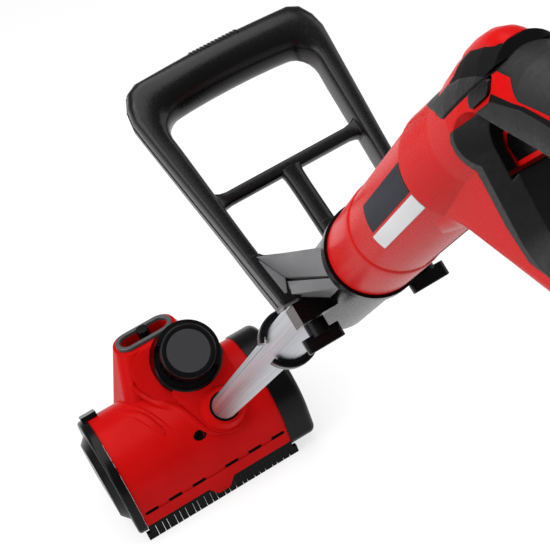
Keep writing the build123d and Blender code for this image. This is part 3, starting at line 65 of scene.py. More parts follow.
def tube_at(x, along, across):
    """Place beside the tube, from distances sideways, along and across it."""
    return BRUSH_AXIS + (SIDE * x + ALONG * along + ACROSS * across) * MM


def round_tube(radius, turn, along):
    """Place round the tube, by its turn in radians from the right-hand side."""
    return tube_at(radius * math.cos(turn), along, radius * math.sin(turn))


def frame_at(x, up, out):
    """Place on the front handle, from distances sideways, up and out of its plane."""
    return FRAME_AT + (SIDE * x + FRAME_UP * up + FRAME_OUT * out) * MM


def turns(count):
    """Even turns of a whole circle, in radians."""
    return [k * math.tau / count for k in range(count)]


def arc(first, last, steps):
    """Even turns from one angle to another, from degrees to radians."""
    return [math.radians(first + (last - first) * k / steps) for k in range(steps + 1)]


def between(first, last, share):
    """Number part of the way from the first to the last."""
    return first + (last - first) * share


# Camera at the photograph's angle, made for a square frame
SENSOR_MM = 36.0
FOCAL_PIXELS = 1300.0
FRAME_PIXELS = 550.0
CAM_AT = Vector((-0.2125, -1.2310, 1.2020))
CAM_LOOK = Vector((0.2152, 0.7606, -0.6126)).normalized()
CAM_DOWN = Vector((-0.4815, -0.4631, -0.7441))
CLIP_START = 0.02
CLIP_END = 50.0


def make_camera():
    """Camera turned by its line of sight and the direction that runs down the picture."""
    back = -CAM_LOOK
    up = (-CAM_DOWN - back * back.dot(-CAM_DOWN)).normalized()
    right = up.cross(back)
    data = bpy.data.cameras.new("camera")
    data.sensor_fit = "HORIZONTAL"
    data.sensor_width = SENSOR_MM
    data.lens = SENSOR_MM * FOCAL_PIXELS / FRAME_PIXELS
    data.clip_start = CLIP_START
    data.clip_end = CLIP_END
    camera = bpy.data.objects.new("camera", data)
    scene.collection.objects.link(camera)
    turn = Matrix((right, up, back)).transposed().to_4x4()
    camera.matrix_world = Matrix.Translation(CAM_AT) @ turn
    scene.camera = camera


# Shader helpers: most add nodes to a material's tree and return what they give
BEVEL_SAMPLES = 4
PATCH_EDGE = 0.1
# a mix node's colour sockets share their names with others, so they go by number
MIX_FIRST = 6
MIX_SECOND = 7
MIX_RESULT = 2


def new_material(name):
    """Empty material with one shader."""
    material = bpy.data.materials.new(name)
    material.use_nodes = True
    tree = material.node_tree
    tree.nodes.clear()
    out = tree.nodes.new("ShaderNodeOutputMaterial")
    shader = tree.nodes.new("ShaderNodeBsdfPrincipled")
    tree.links.new(shader.outputs[0], out.inputs["Surface"])
    return material, tree, shader


def place(tree):
    """Place on the object."""
    return tree.nodes.new("ShaderNodeTexCoord").outputs["Object"]


def dot(tree, where, direction):
    """How far a place lies along a direction."""
    node = tree.nodes.new("ShaderNodeVectorMath")
    node.operation = "DOT_PRODUCT"
    tree.links.new(where, node.inputs[0])
    node.inputs[1].default_value = direction
    return node.outputs["Value"]


def joined(tree, operation, first, second):
    """One number made from two."""
    node = tree.nodes.new("ShaderNodeMath")
    node.operation = operation
    tree.links.new(first, node.inputs[0])
    tree.links.new(second, node.inputs[1])
    return node.outputs[0]


def drawn(tree, where, squeeze):
    """Place that is squeezed along the tube, for the streaks of drawn metal."""
    node = tree.nodes.new("ShaderNodeCombineXYZ")
    tree.links.new(dot(tree, where, SIDE), node.inputs[0])
    tree.links.new(dot(tree, where, ACROSS), node.inputs[1])
    tree.links.new(dot(tree, where, ALONG * squeeze), node.inputs[2])
    return node.outputs[0]


def noise(tree, where, scale, detail=3.0, rough=0.55):
    """Cloudy number about a half."""
    node = tree.nodes.new("ShaderNodeTexNoise")
    node.inputs["Scale"].default_value = scale
    node.inputs["Detail"].default_value = detail
    node.inputs["Roughness"].default_value = rough
    tree.links.new(where, node.inputs["Vector"])
    return node.outputs["Fac"]


def spread(tree, value, lo, hi, from_lo=0.3, from_hi=0.7):
    """Number carried from one range to another, and held at its ends."""
    node = tree.nodes.new("ShaderNodeMapRange")
    node.inputs["From Min"].default_value = from_lo
    node.inputs["From Max"].default_value = from_hi
    node.inputs["To Min"].default_value = lo
    node.inputs["To Max"].default_value = hi
    tree.links.new(value, node.inputs["Value"])
    return node.outputs[0]


def tint(tree, value, dark, light):
    """Colour between a dark and a light one."""
    node = tree.nodes.new("ShaderNodeMix")
    node.data_type = "RGBA"
    node.inputs[MIX_FIRST].default_value = (*dark, 1)
    node.inputs[MIX_SECOND].default_value = (*light, 1)
    tree.links.new(value, node.inputs[0])
    return node.outputs[MIX_RESULT]


def blend(tree, share, first, second):
    """Second colour where share is one, first where it is nought."""
    node = tree.nodes.new("ShaderNodeMix")
    node.data_type = "RGBA"
    tree.links.new(share, node.inputs[0])
    tree.links.new(first, node.inputs[MIX_FIRST])
    node.inputs[MIX_SECOND].default_value = (*second, 1)
    return node.outputs[MIX_RESULT]


def soft_edges(tree, radius):
    """Surface direction that is rounded over sharp edges."""
    node = tree.nodes.new("ShaderNodeBevel")
    node.samples = BEVEL_SAMPLES
    node.inputs["Radius"].default_value = radius
    return node.outputs[0]


def bump(tree, shader, value, height, under_it):
    """Fine relief over a surface direction."""
    node = tree.nodes.new("ShaderNodeBump")
    node.inputs["Distance"].default_value = height
    tree.links.new(value, node.inputs["Height"])
    tree.links.new(under_it, node.inputs["Normal"])
    tree.links.new(node.outputs[0], shader.inputs["Normal"])


def inside(tree, where, low, high):
    """One inside a box, nought outside."""
    middle = [(a + b) / 2 * MM for a, b in zip(low, high)]
    half = [(b - a) / 2 * MM for a, b in zip(low, high)]
    reach = where
    for operation, other in (("SUBTRACT", middle), ("ABSOLUTE", None), ("SUBTRACT", half)):
        node = tree.nodes.new("ShaderNodeVectorMath")
        node.operation = operation
        tree.links.new(reach, node.inputs[0])
        if other:
            node.inputs[1].default_value = other
        reach = node.outputs[0]
    parts = tree.nodes.new("ShaderNodeSeparateXYZ")
    tree.links.new(reach, parts.inputs[0])
    most = parts.outputs[0]
    for k in (1, 2):
        most = joined(tree, "MAXIMUM", most, parts.outputs[k])
    return spread(tree, most, 1.0, 0.0, -PATCH_EDGE * MM, PATCH_EDGE * MM)


def under(tree, where, first, last):
    """One under a line through two places in y and z, nought over it."""
    slope = (last[1] - first[1]) / (last[0] - first[0])
    level = first[1] - slope * first[0]
    height = dot(tree, where, (0, -slope, 1))
    return spread(tree, height, 1.0, 0.0, (level - PATCH_EDGE) * MM, (level + PATCH_EDGE) * MM)


# Dark patches on the rear handle's red shells: boxes, lines by pairs of y and z, and a level of y plus z
SHELL_HALF = 40
BAY_LOW = (-13.6, -912, 893)
BAY_HIGH = (13.6, -846, 931)
SPINE_HALF = 6
SHOULDER_Y = (-900, -851)
SPINE_END_Y = -881
SHOULDER_Z = (925, 970)
SHOULDER_LEVEL = (69.2, 69.6)
STRIP_LOW = (-SHELL_HALF, -985, 938)
STRIP_HIGH = (SHELL_HALF, -887, 953)
STRIP_TOP = (
    ((-892.7, 949.0), (-905.4, 950.5)),
    ((-905.4, 950.6), (-945.0, 951.5)),
    ((-945.0, 951.5), (-985.0, 948.0)),
)
SHELL_PATCH = (0.005, 0.005, 0.0055)


def shell_dark(tree, where):
    """Dark lining of the trigger's bay, flanks either side of the red spine, and the hand loop's strip."""
    bay = inside(tree, where, BAY_LOW, BAY_HIGH)
    back, front = SHOULDER_Y
    foot, top = SHOULDER_Z
    flanks = inside(tree, where, (-SHELL_HALF, back, foot), (SHELL_HALF, SPINE_END_Y, top))
    for low, high in ((-SHELL_HALF, -SPINE_HALF), (SPINE_HALF, SHELL_HALF)):
        flank = inside(tree, where, (low, back, foot), (high, front, top))
        flanks = joined(tree, "MAXIMUM", flanks, flank)
    above = spread(tree, dot(tree, where, (0, 1, 1)), 0.0, 1.0, *(level * MM for level in SHOULDER_LEVEL))
    flanks = joined(tree, "MULTIPLY", flanks, above)
    strip = inside(tree, where, STRIP_LOW, STRIP_HIGH)
    for first, last in STRIP_TOP:
        strip = joined(tree, "MULTIPLY", strip, under(tree, where, first, last))
    dark = joined(tree, "MAXIMUM", bay, joined(tree, "MAXIMUM", flanks, strip))
    return dark, SHELL_PATCH


# Painted light: a paler disc on the lit end of the motor cap, partly its grained finish, from full to none
# over its edge
CAP_DISC = (26.4, 26.8)
CAP_PAINTED_LIGHT = (0.030, 0.030, 0.033)


def cap_face_painted_light(tree, where):
    """Paler disc on the end of the motor cap: painted light on its lit face, and partly its grained finish.
    """
    offset = tree.nodes.new("ShaderNodeVectorMath")
    offset.operation = "SUBTRACT"
    tree.links.new(where, offset.inputs[0])
    offset.inputs[1].default_value = tube_at(MOTOR_X, 0, MOTOR_ACROSS)
    flat = tree.nodes.new("ShaderNodeCombineXYZ")
    tree.links.new(dot(tree, offset.outputs[0], SIDE), flat.inputs[0])
    tree.links.new(dot(tree, offset.outputs[0], ACROSS), flat.inputs[1])
    reach = tree.nodes.new("ShaderNodeVectorMath")
    reach.operation = "LENGTH"
    tree.links.new(flat.outputs[0], reach.inputs[0])
    disc = spread(tree, reach.outputs["Value"], 1.0, 0.0, *(radius * MM for radius in CAP_DISC))
    return disc, CAP_PAINTED_LIGHT


# Materials: a larger grain number is finer, and the grain's height and the softened edges are in millimetres
DRIFT_SCALE = 14.0
DRIFT_DETAIL = 4.0
GRAIN_DETAIL = 2.0
GRAIN_ROUGH = 0.6
PATCH_DULL = 0.3
METAL_DRIFT_SCALE = 9.0
METAL_GRAIN = 0.01
METAL_EDGE = 0.3


def plastic(name, dark, light, rough, grain, height, spec=0.2, edge=0.6, patch=None):
    """Moulded plastic: a faint drift of colour, a fine grain of gloss and relief, and softened edges.

    A patch is a function that gives where another, duller colour shows, and that colour; the motor cap's
    paler patch is painted light.
    """
    material, tree, shader = new_material(name)
    where = place(tree)
    drift = noise(tree, where, DRIFT_SCALE, DRIFT_DETAIL)
    fine = noise(tree, where, grain, GRAIN_DETAIL, GRAIN_ROUGH)
    colour = tint(tree, spread(tree, drift, 0.0, 1.0), dark, light)
    gloss = spread(tree, fine, *rough)
    if patch:
        share, other = patch(tree, where)
        colour = blend(tree, share, colour, other)
        gloss = joined(tree, "ADD", gloss, spread(tree, share, 0.0, PATCH_DULL, 0.0, 1.0))
    tree.links.new(colour, shader.inputs["Base Color"])
    tree.links.new(gloss, shader.inputs["Roughness"])
    shader.inputs["Specular IOR Level"].default_value = spec
    bump(tree, shader, fine, height * MM, soft_edges(tree, edge * MM))
    return material


def metal(name, dark, light, rough, squeeze, grain):
    """Metal with a slow drift of gloss, streaked along the tube where squeeze is small."""
    material, tree, shader = new_material(name)
    where = drawn(tree, place(tree), squeeze)
    streak = noise(tree, where, grain, rough=GRAIN_ROUGH)
    drift = noise(tree, where, METAL_DRIFT_SCALE)
    tree.links.new(tint(tree, spread(tree, streak, 0.0, 1.0), dark, light), shader.inputs["Base Color"])
    tree.links.new(spread(tree, drift, *rough), shader.inputs["Roughness"])
    shader.inputs["Metallic"].default_value = 1.0
    bump(tree, shader, streak, METAL_GRAIN * MM, soft_edges(tree, METAL_EDGE * MM))
    return material


RED = {
    "dark": (0.42, 0.003, 0.003), "light": (0.47, 0.005, 0.005), "rough": (0.24, 0.32),
    "grain": 900.0, "height": 0.005, "spec": 0.035,
}
BLACK = {
    "dark": (0.0012, 0.0012, 0.0015), "light": (0.003, 0.003, 0.0035), "rough": (0.22, 0.32),
    "grain": 700.0, "height": 0.02, "spec": 0.14,
}
MATERIALS = {
    "red": plastic("red_moulding", **RED),
    "shell": plastic("red_shell", **RED, patch=shell_dark),
    "black": plastic("black_moulding", **BLACK),
    # motor cap: black, with a paler disc of painted light on its lit end
    "cap": plastic("motor_cap_black_lit_face", **BLACK, patch=cap_face_painted_light),
    "charcoal": plastic(
        "charcoal_moulding", dark=(0.0015, 0.0015, 0.002), light=(0.004, 0.004, 0.0045), rough=(0.22, 0.32),
        grain=650.0, height=0.04, spec=0.22,
    ),
    # grained bracket panels: black grained plastic, made grey by painted sheen
    "grained": plastic(
        "grained_panel_sheen", dark=(0.08, 0.08, 0.083), light=(0.17, 0.17, 0.176), rough=(0.4, 0.6),
        grain=420.0, height=0.12, spec=0.4,
    ),
    # slot bezel: black plastic, made grey by painted highlight
    "bezel": plastic(
        "grey_bezel_highlight", dark=(0.05, 0.05, 0.052), light=(0.08, 0.08, 0.083), rough=(0.28, 0.36),
        grain=800.0, height=0.02, spec=0.3,
    ),
    "grey": plastic(
        "grey_moulding", dark=(0.012, 0.012, 0.013), light=(0.022, 0.022, 0.023), rough=(0.24, 0.32),
        grain=900.0, height=0.01, spec=0.3,
    ),
    "soft": plastic(
        "soft_grip", dark=(0.005, 0.005, 0.0054), light=(0.014, 0.014, 0.0148), rough=(0.38, 0.55),
        grain=520.0, height=0.09, spec=0.18, edge=1.0,
    ),
    "rubber": plastic(
        "plain_rubber", dark=(0.002, 0.002, 0.002), light=(0.004, 0.004, 0.004), rough=(0.55, 0.7),
        grain=600.0, height=0.03, spec=0.1,
    ),
    "board": plastic(
        "circuit_board", dark=(0.01, 0.10, 0.04), light=(0.02, 0.16, 0.06), rough=(0.35, 0.45),
        grain=300.0, height=0.02,
    ),
    "bristle": plastic(
        "filament", dark=(0.003, 0.003, 0.004), light=(0.008, 0.008, 0.009), rough=(0.4, 0.55),
        grain=500.0, height=0.02,
    ),
    # seam: dark parting lines, and also painted shade in the screw recesses and the hood's gaps
    "seam": plastic(
        "seam_shadow", dark=(0.001, 0.001, 0.001), light=(0.002, 0.002, 0.002), rough=(0.8, 0.9),
        grain=600.0, height=0.01, spec=0.03,
    ),
    "navy": plastic(
        "navy_plate", dark=(0.004, 0.006, 0.012), light=(0.006, 0.008, 0.018), rough=(0.34, 0.42),
        grain=900.0, height=0.004, spec=0.05,
    ),
    "silver": plastic(
        "silver_plate", dark=(0.50, 0.50, 0.51), light=(0.58, 0.58, 0.59), rough=(0.36, 0.44),
        grain=900.0, height=0.006, spec=0.3,
    ),
    "tube": metal(
        "drawn_tube", dark=(0.38, 0.40, 0.43), light=(0.54, 0.56, 0.59), rough=(0.40, 0.46),
        squeeze=0.004, grain=500.0,
    ),
    "steel": metal(
        "bright_steel", dark=(0.42, 0.42, 0.44), light=(0.58, 0.58, 0.60), rough=(0.22, 0.34),
        squeeze=1.0, grain=80.0,
    ),
}

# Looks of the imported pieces, by material slot, and by name where a piece differs from its slot
SLOT_LOOK = {
    "red_plastic": "red", "black_plastic": "charcoal", "grey_plastic": "grey", "soft_grip": "soft",
    "rubber": "rubber", "tube_metal": "tube", "steel": "steel", "bristle": "bristle", "board": "board",
}
NODE_LOOK = {
    "bumper_ring": "black", "clamp_pins": "black", "clamp_saddle": "black", "drive_cover": "black",
    "end_plate": "black", "hood_screw": "black", "motor_collar": "black", "motor_cap": "cap",
    "slot_bezel": "bezel", "handle_shell_left": "shell", "handle_shell_right": "shell",
}


def dress(obj, look):
    """Give an object one material."""
    obj.data.materials.clear()
    obj.data.materials.append(MATERIALS[look])


for row in frame["record"]["subparts"]:
    dress(nodes[row["node"]], NODE_LOOK.get(row["node"], SLOT_LOOK[row["material_slot"]]))


# Forms for the pieces made here: vertices nearer than WELD are one, a rounded corner takes at most
# CORNER_REACH of a side, and no wire runs along OFF_AXIS
SHARP_FROM = math.radians(38)
WELD = 0.001
CORNER_REACH = 0.48
SMALL_CORNER_STEPS = 3
OFF_AXIS = Vector((0.31, 0.52, 0.79))


class Shape:
    """Vertices and faces gathered from several closed forms."""

    def __init__(self):
        self.verts = []
        self.faces = []

    def loft(self, rings, closed=False):
        """Skin over rings of equal count, capped at both ends unless it closes on itself."""
        base = len(self.verts)
        count = len(rings[0])
        for ring in rings:
            self.verts.extend(ring)
        for i in range(len(rings) if closed else len(rings) - 1):
            a = base + i * count
            b = base + (i + 1) % len(rings) * count
            for j in range(count):
                after = (j + 1) % count
                self.faces.append((a + j, a + after, b + after, b + j))
        if not closed:
            end = base + (len(rings) - 1) * count
            self.faces.append(tuple(base + j for j in reversed(range(count))))
            self.faces.append(tuple(end + j for j in range(count)))

    def take(self, mesh, point=None, normal=None):
        """Copy of a mesh, or the closed part of it behind a plane."""
        work = bmesh.new()
        work.from_mesh(mesh)
        bmesh.ops.remove_doubles(work, verts=work.verts, dist=WELD * MM)
        if point:
            whole = work.verts[:] + work.edges[:] + work.faces[:]
            bmesh.ops.bisect_plane(work, geom=whole, plane_co=point, plane_no=normal, clear_outer=True)
            bmesh.ops.holes_fill(work, edges=[edge for edge in work.edges if edge.is_boundary])
        work.verts.index_update()
        base = len(self.verts)
        self.verts.extend(vert.co.copy() for vert in work.verts)
        self.faces.extend(tuple(base + vert.index for vert in face.verts) for face in work.faces)
        work.free()

    def mirror(self):
        """Second set of everything on the other side of the middle plane."""
        count = len(self.verts)
        self.faces += [tuple(count + i for i in face) for face in self.faces]
        self.verts += [Vector((-v.x, v.y, v.z)) for v in self.verts]


def add_piece(name, shape, look, body):
    """Object made from a shape, with its material, that rides on a body."""
    mesh = bpy.data.meshes.new(name)
    mesh.from_pydata([tuple(v) for v in shape.verts], [], shape.faces)
    work = bmesh.new()
    work.from_mesh(mesh)
    bmesh.ops.recalc_face_normals(work, faces=work.faces)
    work.to_mesh(mesh)
    work.free()
    for face in mesh.polygons:
        face.use_smooth = True
    mesh.set_sharp_from_angle(angle=SHARP_FROM)
    obj = bpy.data.objects.new(name, mesh)
    scene.collection.objects.link(obj)
    dress(obj, look)
    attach(obj, body)
    return obj


def wire(shape, points, radius, sides=6, closed=False):
    """Thin round wire along points in metres."""
    rings = []
    for i, point in enumerate(points):
        ahead = points[(i + 1) % len(points)] if closed or i + 1 < len(points) else point
        behind = points[i - 1] if closed or i else point
        run = (ahead - behind).normalized()
        first = run.cross(OFF_AXIS).normalized()
        second = run.cross(first)
        rings.append([
            point + (first * math.cos(turn) + second * math.sin(turn)) * (radius * MM)
            for turn in turns(sides)
        ])
    shape.loft(rings, closed)


def rounded(points, radius, steps=5):
    """Closed flat outline with every corner rounded."""
    out = []
    for i, corner in enumerate(points):
        corner = Vector(corner)
        before = Vector(points[i - 1]) - corner
        after = Vector(points[(i + 1) % len(points)]) - corner
        half = before.angle(after) / 2
        reach = min(radius / math.tan(half), before.length * CORNER_REACH, after.length * CORNER_REACH)
        start = corner + before.normalized() * reach
        stop = corner + after.normalized() * reach
        for k in range(steps + 1):
            t = k / steps
            out.append(start * (1 - t) ** 2 + corner * 2 * t * (1 - t) + stop * t ** 2)
    return out


def squared(value, square):
    """Sine or cosine that is flattened towards a square: two gives a circle, more gives squarer."""
    return math.copysign(abs(value) ** (2 / square), value)


def tube_circle(along, radius, sides):
    """Circle about the tube's axis."""
    return [round_tube(radius, turn, along) for turn in turns(sides)]


# Brush: tufts of filaments in spiral rows on a sleeve
BRUSH_LEFT = -145.8
BRUSH_RIGHT = 49.8
BRUSH_SLEEVE_IN = 22.2
BRUSH_SLEEVE_OUT = 25.0
BRUSH_SLEEVE_SIDES = 56
TUFT_ROWS = 14
TUFT_RINGS = 48
TUFT_INSET = 3
TUFT_TWIST = 7
TUFT_HALF = 0.9
TUFT_FILAMENTS = 7
FILAMENT_ROOT = 24.6
FILAMENT_TIP = (55.8, 57.2)
FILAMENT_SIDES = 3
LEAN_SIDE = 1.9
LEAN_ROUND = 2.6
LEAN_CURVE = 1.6
# share of a filament's length, and its half width there
FILAMENT = ((0.0, 0.42), (0.55, 0.40), (1.0, 0.30))


def axle_circle(x, radius, sides):
    """Circle about the brush's axle."""
    return [
        BRUSH_AXIS + Vector((x * MM, radius * MM * math.cos(turn), radius * MM * math.sin(turn)))
        for turn in turns(sides)
    ]


def filament(x, turn):
    """Rings of one filament, from its root in the tuft to its leaning tip."""
    foot = Vector((random.uniform(-TUFT_HALF, TUFT_HALF), random.uniform(-TUFT_HALF, TUFT_HALF)))
    lean = Vector((random.uniform(-LEAN_SIDE, LEAN_SIDE), random.uniform(-LEAN_ROUND, LEAN_ROUND)))
    tip = random.uniform(*FILAMENT_TIP)
    rings = []
    for share, half in FILAMENT:
        drift = foot + lean * share ** LEAN_CURVE
        radius = between(FILAMENT_ROOT, tip, share)
        angle = turn + drift.y / radius
        out = Vector((0, math.cos(angle), math.sin(angle)))
        side = Vector((0, -out.z, out.y))
        middle = Vector((x + drift.x, 0, 0)) + out * radius
        rings.append([
            BRUSH_AXIS + (middle + (SIDE * math.cos(k) + side * math.sin(k)) * half) * MM
            for k in turns(FILAMENT_SIDES)
        ])
    return rings


def make_brush():
    """Bristles of the brush, in place of its plain strands."""
    shape = Shape()
    left = ((BRUSH_LEFT, BRUSH_SLEEVE_IN), (BRUSH_LEFT, BRUSH_SLEEVE_OUT))
    right = ((BRUSH_RIGHT, BRUSH_SLEEVE_OUT), (BRUSH_RIGHT, BRUSH_SLEEVE_IN))
    shape.loft([axle_circle(x, radius, BRUSH_SLEEVE_SIDES) for x, radius in left + right], closed=True)
    pitch = (BRUSH_RIGHT - BRUSH_LEFT - 2 * TUFT_INSET) / (TUFT_RINGS - 1)
    for ring in range(TUFT_RINGS):
        x = BRUSH_LEFT + TUFT_INSET + ring * pitch
        for start in turns(TUFT_ROWS):
            for _ in range(TUFT_FILAMENTS):
                shape.loft(filament(x, start + math.radians(TUFT_TWIST * ring)))
    piece = add_piece("brush_tufts", shape, "bristle", "brush")
    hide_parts("bristles")


# Bare plates bent round the rear handle's barrel: ends along the tube and turns in degrees
PLATE_IN = 25.9
PLATE_OUT = 26.45
PLATE_STEPS = 14
NAVY_ALONG = (1077, 1153)
NAVY_TURNS = (153, 184)
SILVER_ALONG = (1073, 1153)
SILVER_TURNS = (187, 205)


def make_plate(name, ends, plate_turns, look):
    """Thin bare plate on the barrel."""
    shape = Shape()
    angles = arc(*plate_turns, PLATE_STEPS)
    rings = []
    for along in ends:
        outer = [round_tube(PLATE_OUT, turn, along) for turn in angles]
        inner = [round_tube(PLATE_IN, turn, along) for turn in reversed(angles)]
        rings.append(outer + inner)
    shape.loft(rings)
    add_piece(name, shape, look, "rear_handle")


# Grained webs of the front handle's bracket, whose grey is painted sheen on black grained plastic: an edge
# on the frame, and turns of the clamp's rim in degrees
RIM_R = 26.7
RIM_ALONG = 963.0
UPPER_WEB = ((-51.2, 32.6), (-43.0, 12.8))
UPPER_WEB_TURNS = (142, 179)
LOWER_WEB = ((-43.1, 10.4), (-46.0, 2.6))
LOWER_WEB_TURNS = (182, 199)
LOWER_WEB_SUNK = 0.9
WEB_OUT = 13.1
WEB_STEPS = 6
WEB_ROWS = 4
WEB_DEEP = 8
WEB_ROW_DEEPER = 5
# flat inset in the frame's front beside the webs
INSET = ((-51.4, 32.0), (-43.2, 12.6), (-47.0, 4.2), (-48.6, 4.2))
INSET_OUT = (12.6, 13.2)
INSET_ROUND = 0.6


def web(shape, edge, rim_turns, sunk):
    """Closed web from an edge on the frame's front to an arc of the clamp's rim."""
    rings = []
    for k in range(WEB_STEPS + 1):
        share = k / WEB_STEPS
        x, up = (between(first, last, share) for first, last in zip(*edge))
        foot = frame_at(x, up, WEB_OUT - sunk)
        turn = math.radians(between(*rim_turns, share))
        rim = round_tube(RIM_R, turn, RIM_ALONG) - ALONG * sunk * MM
        front = [foot.lerp(rim, row / WEB_ROWS) for row in range(WEB_ROWS + 1)]
        back = [spot - ALONG * (WEB_DEEP + WEB_ROW_DEEPER * row) * MM for row, spot in enumerate(front)]
        rings.append(front + back[::-1])
    shape.loft(rings)


def make_panels():
    """Webs and inset on the left, and their mirror on the right."""
    shape = Shape()
    web(shape, UPPER_WEB, UPPER_WEB_TURNS, 0.0)
    web(shape, LOWER_WEB, LOWER_WEB_TURNS, LOWER_WEB_SUNK)
    outline = rounded(INSET, INSET_ROUND, SMALL_CORNER_STEPS)
    shape.loft([[frame_at(p.x, p.y, out) for p in outline] for out in INSET_OUT])
    shape.mirror()
    add_piece("bracket_panels", shape, "grained", "front_handle")


# Collar round the end of the upper tube: radius and place along the tube, and turns in degrees
BAND_PROFILE = ((20.5, 632.6), (23.6, 632.6), (24.6, 633.6), (24.6, 645.4), (23.6, 646.4), (20.5, 646.4))
BAND_FIRST = 204
BAND_LAST = 522
BAND_STEP = 6


def make_band():
    """Thick collar that is open on the left."""
    shape = Shape()
    rings = []
    for degrees in range(BAND_FIRST, BAND_LAST + 1, BAND_STEP):
        rings.append([round_tube(radius, math.radians(degrees), along) for radius, along in BAND_PROFILE])
    shape.loft(rings)
    add_piece("band_collar", shape, "black", "rear_handle")


# Front handle: a smooth arch with a round bowed grip, on the bracket that clamps the tube
BRACKET_CUT = 34.0
ARCH_SIDES = 32
# each station holds an inner point, an outer point, a half depth and how square the section is
ARCH_FOOT = (
    ((-46.4, 2), (-53.7, 2), 13.2, 7.0),
    ((-47.3, 20), (-55.7, 20), 13.2, 7.0),
    ((-48.0, 33), (-57.1, 33), 13.1, 6.0),
    ((-48.6, 46), (-58.5, 46), 13.0, 4.4),
    ((-49.9, 70), (-61.1, 70), 13.0, 3.8),
    ((-51.2, 95), (-63.9, 95), 13.0, 3.6),
    ((-52.2, 114), (-66.0, 114), 13.0, 3.4),
)
GRIP_DEPTH = 16.2
GRIP_SQUARE = 2.2
ARCH_TOP = (
    ((-30, 141.6), (-30, 172.8), 15.8, 2.3),
    ((-15, 142.2), (-15, 173.4), GRIP_DEPTH, GRIP_SQUARE),
    ((0, 142.4), (0, 173.6), GRIP_DEPTH, GRIP_SQUARE),
)
# the corner's outer points, and the centre, radius and step in degrees of its inner arc
ARCH_CORNER = (
    (-67.2, 125), (-68.4, 136), (-69.6, 147.5), (-68.0, 158), (-63.4, 167.4), (-56, 171.4), (-42, 172.2),
)
INNER_X = -38.1
INNER_UP = 126.0
INNER_R = 15.0
INNER_STEP = 15
CORNER_DEPTH = (13.0, 15.4)
CORNER_SQUARE = (3.3, 2.4)
# crossbar: place from the middle, half height and half depth; strut: place up, half width and half depth
CROSSBAR_UP = 77
CROSSBAR_SQUARE = 4.0
CROSSBAR_HALF = ((-52, 8.0, 7.0), (-49.5, 6.0, 5.8), (-47, 4.8, 5.0), (-43, 4.1, 4.6))
STRUT_SQUARE = 2.5
STRUT = ((20.6, 6.4, 5.7), (60, 6.3, 5.6), (70, 6.5, 5.7), (75, 7.6, 6.0))
GRIP_RIBS = 13
RIB_FIRST = -15.0
RIB_PITCH = 2.7
RIB_R = 0.95
RIB_SUNK = 0.25
RIB_UP = (142.3, 173.5)
RIB_TURN = 55
RIB_STEPS = 11
HANDLE_SEAM_R = 0.4


def section_point(station, turn, grow=0.0):
    """Point on a station's rounded section, from its outer side round towards the front."""
    inner, outer, depth, square = station
    inner = Vector(inner)
    outer = Vector(outer)
    reach = (outer - inner) / 2
    wide = squared(math.cos(turn), square) * (1 + grow / reach.length)
    deep = squared(math.sin(turn), square) * (depth + grow)
    spot = (inner + outer) / 2 + reach * wide
    return frame_at(spot.x, spot.y, deep)


def arch_stations():
    """All stations of the arch, from the left foot over the grip to the right foot."""
    half = list(ARCH_FOOT)
    for k, outer in enumerate(ARCH_CORNER):
        turn = math.radians(INNER_STEP * k)
        share = k / (len(ARCH_CORNER) - 1)
        inner = (INNER_X - INNER_R * math.cos(turn), INNER_UP + INNER_R * math.sin(turn))
        half.append((inner, outer, between(*CORNER_DEPTH, share), between(*CORNER_SQUARE, share)))
    half += ARCH_TOP
    far = [((-i[0], i[1]), (-o[0], o[1]), depth, square) for i, o, depth, square in half[-2::-1]]
    return half + far


def bar_section(half_wide, half_deep, square):
    """Offsets round a straight bar's rounded section."""
    return [
        (half_wide * squared(math.cos(turn), square), half_deep * squared(math.sin(turn), square))
        for turn in turns(ARCH_SIDES)
    ]


def add_bars(shape):
    """Crossbar between the arch's arms, and the strut under it."""
    bar = list(CROSSBAR_HALF)
    bar += [(-x, high, deep) for x, high, deep in reversed(bar)]
    shape.loft([
        [frame_at(x, CROSSBAR_UP + up, out) for up, out in bar_section(high, deep, CROSSBAR_SQUARE)]
        for x, high, deep in bar
    ])
    shape.loft([
        [frame_at(x, up, out) for x, out in bar_section(wide, deep, STRUT_SQUARE)]
        for up, wide, deep in STRUT
    ])


def add_grip_ribs(shape):
    """Ribs over the top of the grip."""
    for k in range(GRIP_RIBS):
        x = RIB_FIRST + k * RIB_PITCH
        station = ((x, RIB_UP[0]), (x, RIB_UP[1]), GRIP_DEPTH, GRIP_SQUARE)
        line = [section_point(station, turn, -RIB_SUNK) for turn in arc(-RIB_TURN, RIB_TURN, RIB_STEPS)]
        wire(shape, line, RIB_R)


def make_front_handle():
    """Handle on its bracket, in place of the two plain half shells, and the seam round its outside."""
    shape = Shape()
    cut = frame_at(0, BRACKET_CUT, 0)
    for name in ("front_handle_fore", "front_handle_aft"):
        shape.take(nodes[name].data, cut, FRAME_UP)
    stations = arch_stations()
    shape.loft([[section_point(station, turn) for turn in turns(ARCH_SIDES)] for station in stations])
    add_bars(shape)
    add_grip_ribs(shape)
    piece = add_piece("front_handle_body", shape, "charcoal", "front_handle")
    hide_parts("front_handle_fore", "front_handle_aft")
    shape = Shape()
    wire(shape, [section_point(station, 0.0) for station in stations], HANDLE_SEAM_R)
    add_piece("front_handle_seam", shape, "seam", "front_handle")


# Wing knobs: slimmer blades that lean a little either side of the bored hub
WING_X = 38.0
WING_ALONG = 918.0
WING_HUB_LOW = -24.0
BOLT_BORE = 3.8
BLADE_SHORT = 0.88
BLADE_SLIM = 0.78
BLADE_SHALLOW = 0.75
BLADE_LEAN = 1.3
BLADE_LEAN_BY = 6


